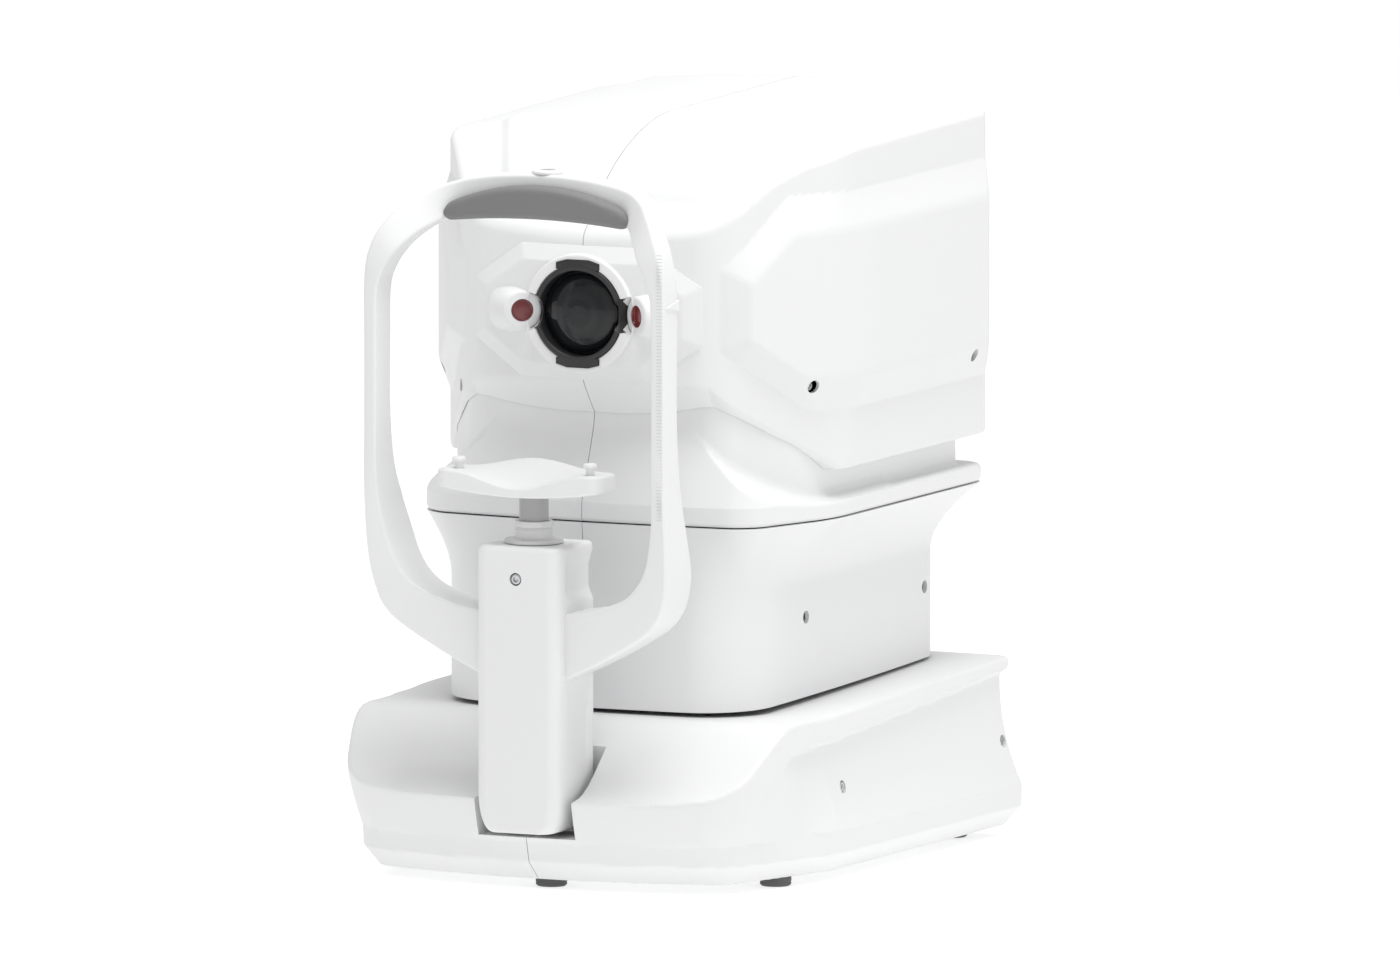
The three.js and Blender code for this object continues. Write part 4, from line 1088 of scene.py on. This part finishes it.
# %% Post
def post_field(x, y, z):
    ax = np.abs(x)
    low = clamp((66 - z) / 26)
    foot = 9 * (1 - np.sqrt(np.maximum(1 - low * low, 0)))
    plan = meet(meet(ax - 30 + foot, -37 - y + foot * 0.25, 9 - 3 * smooth((y + 10) / 20)), y - 22, 4)
    column = meet(plan, z - 228.5, 4)
    pocket = np.maximum(np.maximum(-20 - y, 194 - z - 0.2 * (y + 8)), z - 232 - 0.3 * y)
    scoop = 4.6 * smooth((6 - pocket) / 14) * smooth((z - 186) / 14) * (1 - 0.75 * smooth((z - 212) / 12))
    across = smooth((y + 26) / 16) * (1 - smooth((y - 10) / 8))
    lower_scoop = 2.2 * across * smooth((140 - z) / 30) * smooth((z - 70) / 30)
    side = ax - 30 + np.where(y > -30, scoop + lower_scoop, 0)
    return np.maximum(meet(column, side, 1.5), 40 - z)


post = pulled_shell("post", post_field, (-30, -37, 40), (30, 22, 228.5), (0, -8, 134), 1.6)
bore = plug((0, -8.6, 228.5), (0, 0, 1), 10.0, 25, 96)
screw_hole = plug((0, -37, 207.4), (0, 1, 0), 4.3, 8, 32)
cut(post, bore, screw_hole)
screw_places["base"].append((np.array([0, -34.5, 207.4]), np.array([0, -1.0, 0])))
post.name = "chin_post_skin"
finish(post, "base", "shell", "chin_post")
shade_by_field(post, post_field)

# %% Chin collar, shaft and pins
collar_profile = rounded([(10, 0), (19.4, 0), (19.4, 2.5), (12.4, 3.2), (12.4, 9), (11.8, 9.4), (11.8, 10.1),
                          (12.4, 10.5), (12.4, 14.5), (10, 14.5)], 0.45, True)
chin_collar = turned("chin_collar_skin", collar_profile, (0, -8.6, 228.85), (0, 0, 1), 96, closed=True)
finish(chin_collar, "base", "steel", "chin_collar", material=satin_collar)
shade(chin_collar, 40)
shaft_profile = rounded([(4.4, 0), (9.6, 0), (9.6, 96), (4.4, 96)], 0.5, True)
chin_shaft = turned("chin_shaft_skin", shaft_profile, (0, -8.6, 166.5), (0, 0, 1), 96, closed=True)
finish(chin_shaft, "chin_rest", "aluminium", "chin_shaft", material=shaft_metal)
shade(chin_shaft, 40)
pin_profile = rounded([(0, 0), (2.9, 0), (2.9, 12.2), (4.4, 12.4), (4.7, 13.4), (4.4, 14.8), (3.2, 15.6),
                       (0, 15.9)], 0.5)
for side, x in (("left", -47.3), ("right", 47.3)):
    pin = turned(f"paper_pin_{side}_skin", pin_profile, (x, -23, 269), (0, 0, 1), 48)
    finish(pin, f"pin_{side}", "white_trim", f"paper_pin_{side}")
    shade(pin, 40)

# %% [markdown]
# ## Chin tray
# The tray is a thin saddle: dished in the middle for the chin, with flat ends for the paper pins and a
# curved underside.

# %% Chin tray
TRAY_FRONT, TRAY_REAR, TRAY_END_TOP = -36.0, -4.0, 276.9


def tray_top(x, y):
    """The dish is low at the front edge and rises to a crest at the rear."""
    back = clamp((y - TRAY_FRONT) / (TRAY_REAR - TRAY_FRONT))
    dish = 266.8 + 17.7 * back ** 1.6
    return TRAY_END_TOP + (dish - TRAY_END_TOP) * 0.5 * (1 + np.cos(math.pi * clamp(np.abs(x) / 50)))


def tray_field(x, y, z):
    ax = np.abs(x)
    corner = np.hypot(np.maximum(ax - 50.5, 0), np.maximum(np.abs(y + 20) - 7, 0)) - 9
    plan = np.maximum(corner, np.maximum(ax - 59.5, np.abs(y + 20) - 16))
    return meet(meet(plan, (z - tray_top(x, y)) * 0.85, 1.3), 260.6 + x * x / 658 - z, 1.8)


tray = pulled_shell("chin_tray_skin", tray_field, (-59.5, -36, 260.6), (59.5, -4, 283), (0, -20, 265), 1.2)
for x in (-47.3, 47.3):
    cut(tray, plug((x, -23, 275), (0, 0, 1), 3.1, 20, 32))
finish(tray, "chin_rest", "shell", "chin_tray")
shade_by_field(tray, tray_field)

# %% [markdown]
# ## Screws and feet by Geometry Nodes
# Screws and feet repeat one shape. A tree puts an instance of the shape on every point of a little mesh,
# turned to each point's normal, then realises the instances and sets the material. One mesh is baked for
# each body, so that the screws travel with their cover.

# %% Instancing tree
def instance_tree(name):
    tree = bpy.data.node_groups.new(name, "GeometryNodeTree")
    for label, kind in (("Points", "NodeSocketGeometry"), ("Shape", "NodeSocketObject"),
                        ("Finish", "NodeSocketMaterial"), ("Size", "NodeSocketFloat"),
                        ("Turn spread", "NodeSocketFloat"), ("Seed", "NodeSocketInt")):
        tree.interface.new_socket(label, in_out="INPUT", socket_type=kind)
    tree.interface.new_socket("Result", in_out="OUTPUT", socket_type="NodeSocketGeometry")
    enter, leave = tree.nodes.new("NodeGroupInput"), tree.nodes.new("NodeGroupOutput")
    shape = add_node(tree, "GeometryNodeObjectInfo", transform_space="ORIGINAL")
    along = add_node(tree, "GeometryNodeInputNamedAttribute", {"Name": "aim"}, data_type="FLOAT_VECTOR")
    aim = add_node(tree, "FunctionNodeAlignEulerToVector", axis="Z")
    spin = add_node(tree, "FunctionNodeRandomValue", data_type="FLOAT")
    about = add_node(tree, "FunctionNodeRotateEuler", space="LOCAL")
    turn = add_node(tree, "ShaderNodeCombineXYZ")
    copies = tree.nodes.new("GeometryNodeInstanceOnPoints")
    real = tree.nodes.new("GeometryNodeRealizeInstances")
    coat = tree.nodes.new("GeometryNodeSetMaterial")
    link = tree.links.new
    link(enter.outputs["Shape"], shape.inputs["Object"])
    link(enter.outputs["Points"], copies.inputs["Points"])
    link(shape.outputs["Geometry"], copies.inputs["Instance"])
    link(along.outputs["Attribute"], aim.inputs["Vector"])
    link(enter.outputs["Turn spread"], spin.inputs[3])
    link(enter.outputs["Seed"], spin.inputs["Seed"])
    link(spin.outputs[1], turn.inputs["Z"])
    link(aim.outputs[0], about.inputs["Rotation"])
    link(turn.outputs[0], about.inputs["Rotate By"])
    link(about.outputs[0], copies.inputs["Rotation"])
    link(enter.outputs["Size"], copies.inputs["Scale"])
    link(copies.outputs["Instances"], real.inputs["Geometry"])
    link(real.outputs["Geometry"], coat.inputs["Geometry"])
    link(enter.outputs["Finish"], coat.inputs["Material"])
    link(coat.outputs["Geometry"], leave.inputs["Result"])
    return tree


on_points = instance_tree("Shape on points")


def repeat_shape(name, places, shape, material, spread=0.0, seed=7):
    """places are (point, direction) pairs; the shape stands on the origin and points up."""
    piece = mesh_piece(name, [p for p, _ in places], [])
    aim = piece.data.attributes.new("aim", "FLOAT_VECTOR", "POINT")
    aim.data.foreach_set("vector", np.array([d for _, d in places], np.float32).ravel())
    step = piece.modifiers.new("copies", "NODES")
    step.node_group = on_points
    wanted = {"Shape": shape, "Finish": material, "Size": 1.0, "Turn spread": spread, "Seed": seed}
    for item in on_points.interface.items_tree:
        if item.in_out == "INPUT" and item.name in wanted:
            step[item.identifier] = wanted[item.name]
    bake(piece)
    return piece


def at_origin(piece):
    """The helper writes a shape in the datum; a shape to copy has to stand on the origin instead."""
    piece.data.transform(Matrix.Translation((0, TOE_TO_ORIGIN * MM, 0)))
    return piece


# %% Cover screws
screw_profile = rounded([(0, -1.5), (3.6, -1.5), (3.6, 1.4), (3.0, 2.0), (1.75, 2.0), (1.6, 0.6), (0, 0.5)],
                        0.25, bits=3)
screw = at_origin(turned("screw", screw_profile, (0, 0, 0), (0, 0, 1), 24))
shade(screw, 40)
for body, places in screw_places.items():
    screws = repeat_shape(f"cover_screws_{body}", places, screw, steel, spread=6.28)
    finish(screws, body, "steel", material=steel)
bpy.data.objects.remove(screw)

# %% Height scale on the right limb
tick_outline = np.array([(-2.1, 0, -0.22), (1.8, 0, -0.22), (2.1, 0, 0), (1.8, 0, 0.22), (-2.1, 0, 0.22)])
tick = at_origin(tidy(loft("tick", [tick_outline + (0, y, 0) for y in (0.2, -0.12)])))
tick.data.transform(Matrix.Rotation(math.radians(-90), 4, "X"))
tick_heights = np.arange(252, 428, 2.2)
tick_places = [((105.7, -41.0, z), (0, -1, 0)) for z in tick_heights]
ticks = repeat_shape("height_scale", tick_places, tick, scale_grey)
finish(ticks, "base", "shell", material=scale_grey)
bpy.data.objects.remove(tick)
wedge_outline = np.array([(0, -36.5, 391), (0, -17.4, 387.4), (0, -17.4, 394.6)])
wedge_rows = [wedge_outline + (107.0, 0, 0), wedge_outline + (108.8, 0, 0),
              wedge_outline * (1, 0.95, 1) + (109.2, -1.2, 0)]
wedge = tidy(loft("eye_level_mark", wedge_rows))
finish(wedge, "base", "shell")
shade(wedge, 30)

# %% Feet
foot_profile = rounded([(0, 0), (9.0, 0), (10.2, 1.1), (10.4, 2.0), (9.9, 2.6), (10.4, 3.2), (10.4, 6.1),
                        (0, 6.1)], 0.5)
foot = at_origin(turned("foot", foot_profile, (0, 0, 0), (0, 0, 1), 48))
shade(foot, 40)
FEET = {"foot_front": (0, 18), "foot_right": (132, 81), "foot_left": (-132, 81),
        "foot_rear_left": (-128, 360), "foot_rear_right": (128, 360)}
feet = repeat_shape("rubber_feet", [((x, y, 0), (0, 0, 1)) for x, y in FEET.values()], foot, rubber)
finish(feet, "base", "rubber", *FEET)
bpy.data.objects.remove(foot)

# %% [markdown]
# ## Hidden mechanism
# The stages, motors, rods and optics inside are right in shape as CAD made them. They keep their meshes
# and take a finish from their slot, with turned, milled or threaded metal where that is what they are.

# %% Finishes for the carried-over CAD nodes
SPECIAL = {"x_screw": thread_x, "y_screw": thread_y, "z_screw": thread_z, "chin_screw": thread_z}
slot_of_node = {}
for part in frame["record"].get("subparts", []):
    for label in part.get("nodes", [part.get("node")]):
        slot_of_node[label] = part.get("material_slot") or part.get("slot")
for name, node in frame["nodes"].items():
    if node.hide_render:
        continue
    current = node.data.materials[0].name.split(".")[0] if node.data.materials else ""
    slot = current if current in FINISH_OF_SLOT else slot_of_node.get(name)
    material = SPECIAL.get(name) or FINISH_OF_SLOT.get(slot, aluminium)
    node.data.materials.clear()
    node.data.materials.append(material)
    print(f"{name}: {material.name}")

# %% [markdown]
# ## Floor, light and camera
# The floor is plain and pale. A white sky gives the soft light of a photographer's tent, a large panel
# above lifts the tops, and another on the right models the side. A long lens keeps the lines parallel.

# %% Floor and sky
floor_mesh = bpy.data.meshes.new("floor")
floor_mesh.from_pydata([(-40, -40, 0), (40, -40, 0), (40, 40, 0), (-40, 40, 0)], [], [(0, 1, 2, 3)])
floor = bpy.data.objects.new("floor", floor_mesh)
bpy.context.scene.collection.objects.link(floor)
floor_white, tree, shader = new_finish("pale floor", Roughness=0.9, Emission_Color=rgba(1, 1, 1),
                                       Emission_Strength=0.7)
tones = use_group(tree, tone, Colour=rgba(0.46, 0.46, 0.46), Second_colour=rgba(0.45, 0.45, 0.45),
                  Patches_per_metre=2.0)
tree.links.new(tones.outputs["Colour"], shader.inputs["Base Color"])
floor.data.materials.append(floor_white)

world = bpy.data.worlds.new("white tent")
bpy.context.scene.world = world
world.use_nodes = True
sky = world.node_tree.nodes["Background"]
sky.inputs["Color"].default_value = rgba(1, 1, 1)
sky.inputs["Strength"].default_value = 0.6


def panel(name, place, target, size, power):
    light = bpy.data.lights.new(name, "AREA")
    light.shape, light.size, light.energy = "DISK", size, power
    lamp = bpy.data.objects.new(name, light)
    bpy.context.scene.collection.objects.link(lamp)
    lamp.location = place
    lamp.rotation_euler = (Vector(target) - Vector(place)).to_track_quat("-Z", "Y").to_euler()
    return lamp


panel("overhead panel", (0.5, -0.3, 2.6), (0, 0, 0.25), 1.6, 45)
panel("right panel", (2.8, -0.7, 1.1), (0, 0, 0.25), 1.4, 6)
bpy.context.scene.view_settings.view_transform = "Standard"

# %% Camera
AZIMUTH, ELEVATION = math.radians(25.3), math.radians(7.0)
AIM, DISTANCE = Vector((0.0806, -0.1037, 0.2663)), 63.454
RIGHT = Vector((math.cos(AZIMUTH), math.sin(AZIMUTH), 0))
LEVEL = math.cos(ELEVATION)
BACK = Vector((math.sin(AZIMUTH) * LEVEL, -math.cos(AZIMUTH) * LEVEL, math.sin(ELEVATION)))
UP = BACK.cross(RIGHT)
lens = bpy.data.cameras.new("long lens")
lens.lens, lens.sensor_width, lens.clip_end = 2500, 36, 400
camera = bpy.data.objects.new("camera", lens)
bpy.context.scene.collection.objects.link(camera)
turn = Matrix((RIGHT, UP, BACK)).transposed().to_4x4()
camera.matrix_world = Matrix.Translation(AIM + BACK * DISTANCE) @ turn
bpy.context.scene.camera = camera
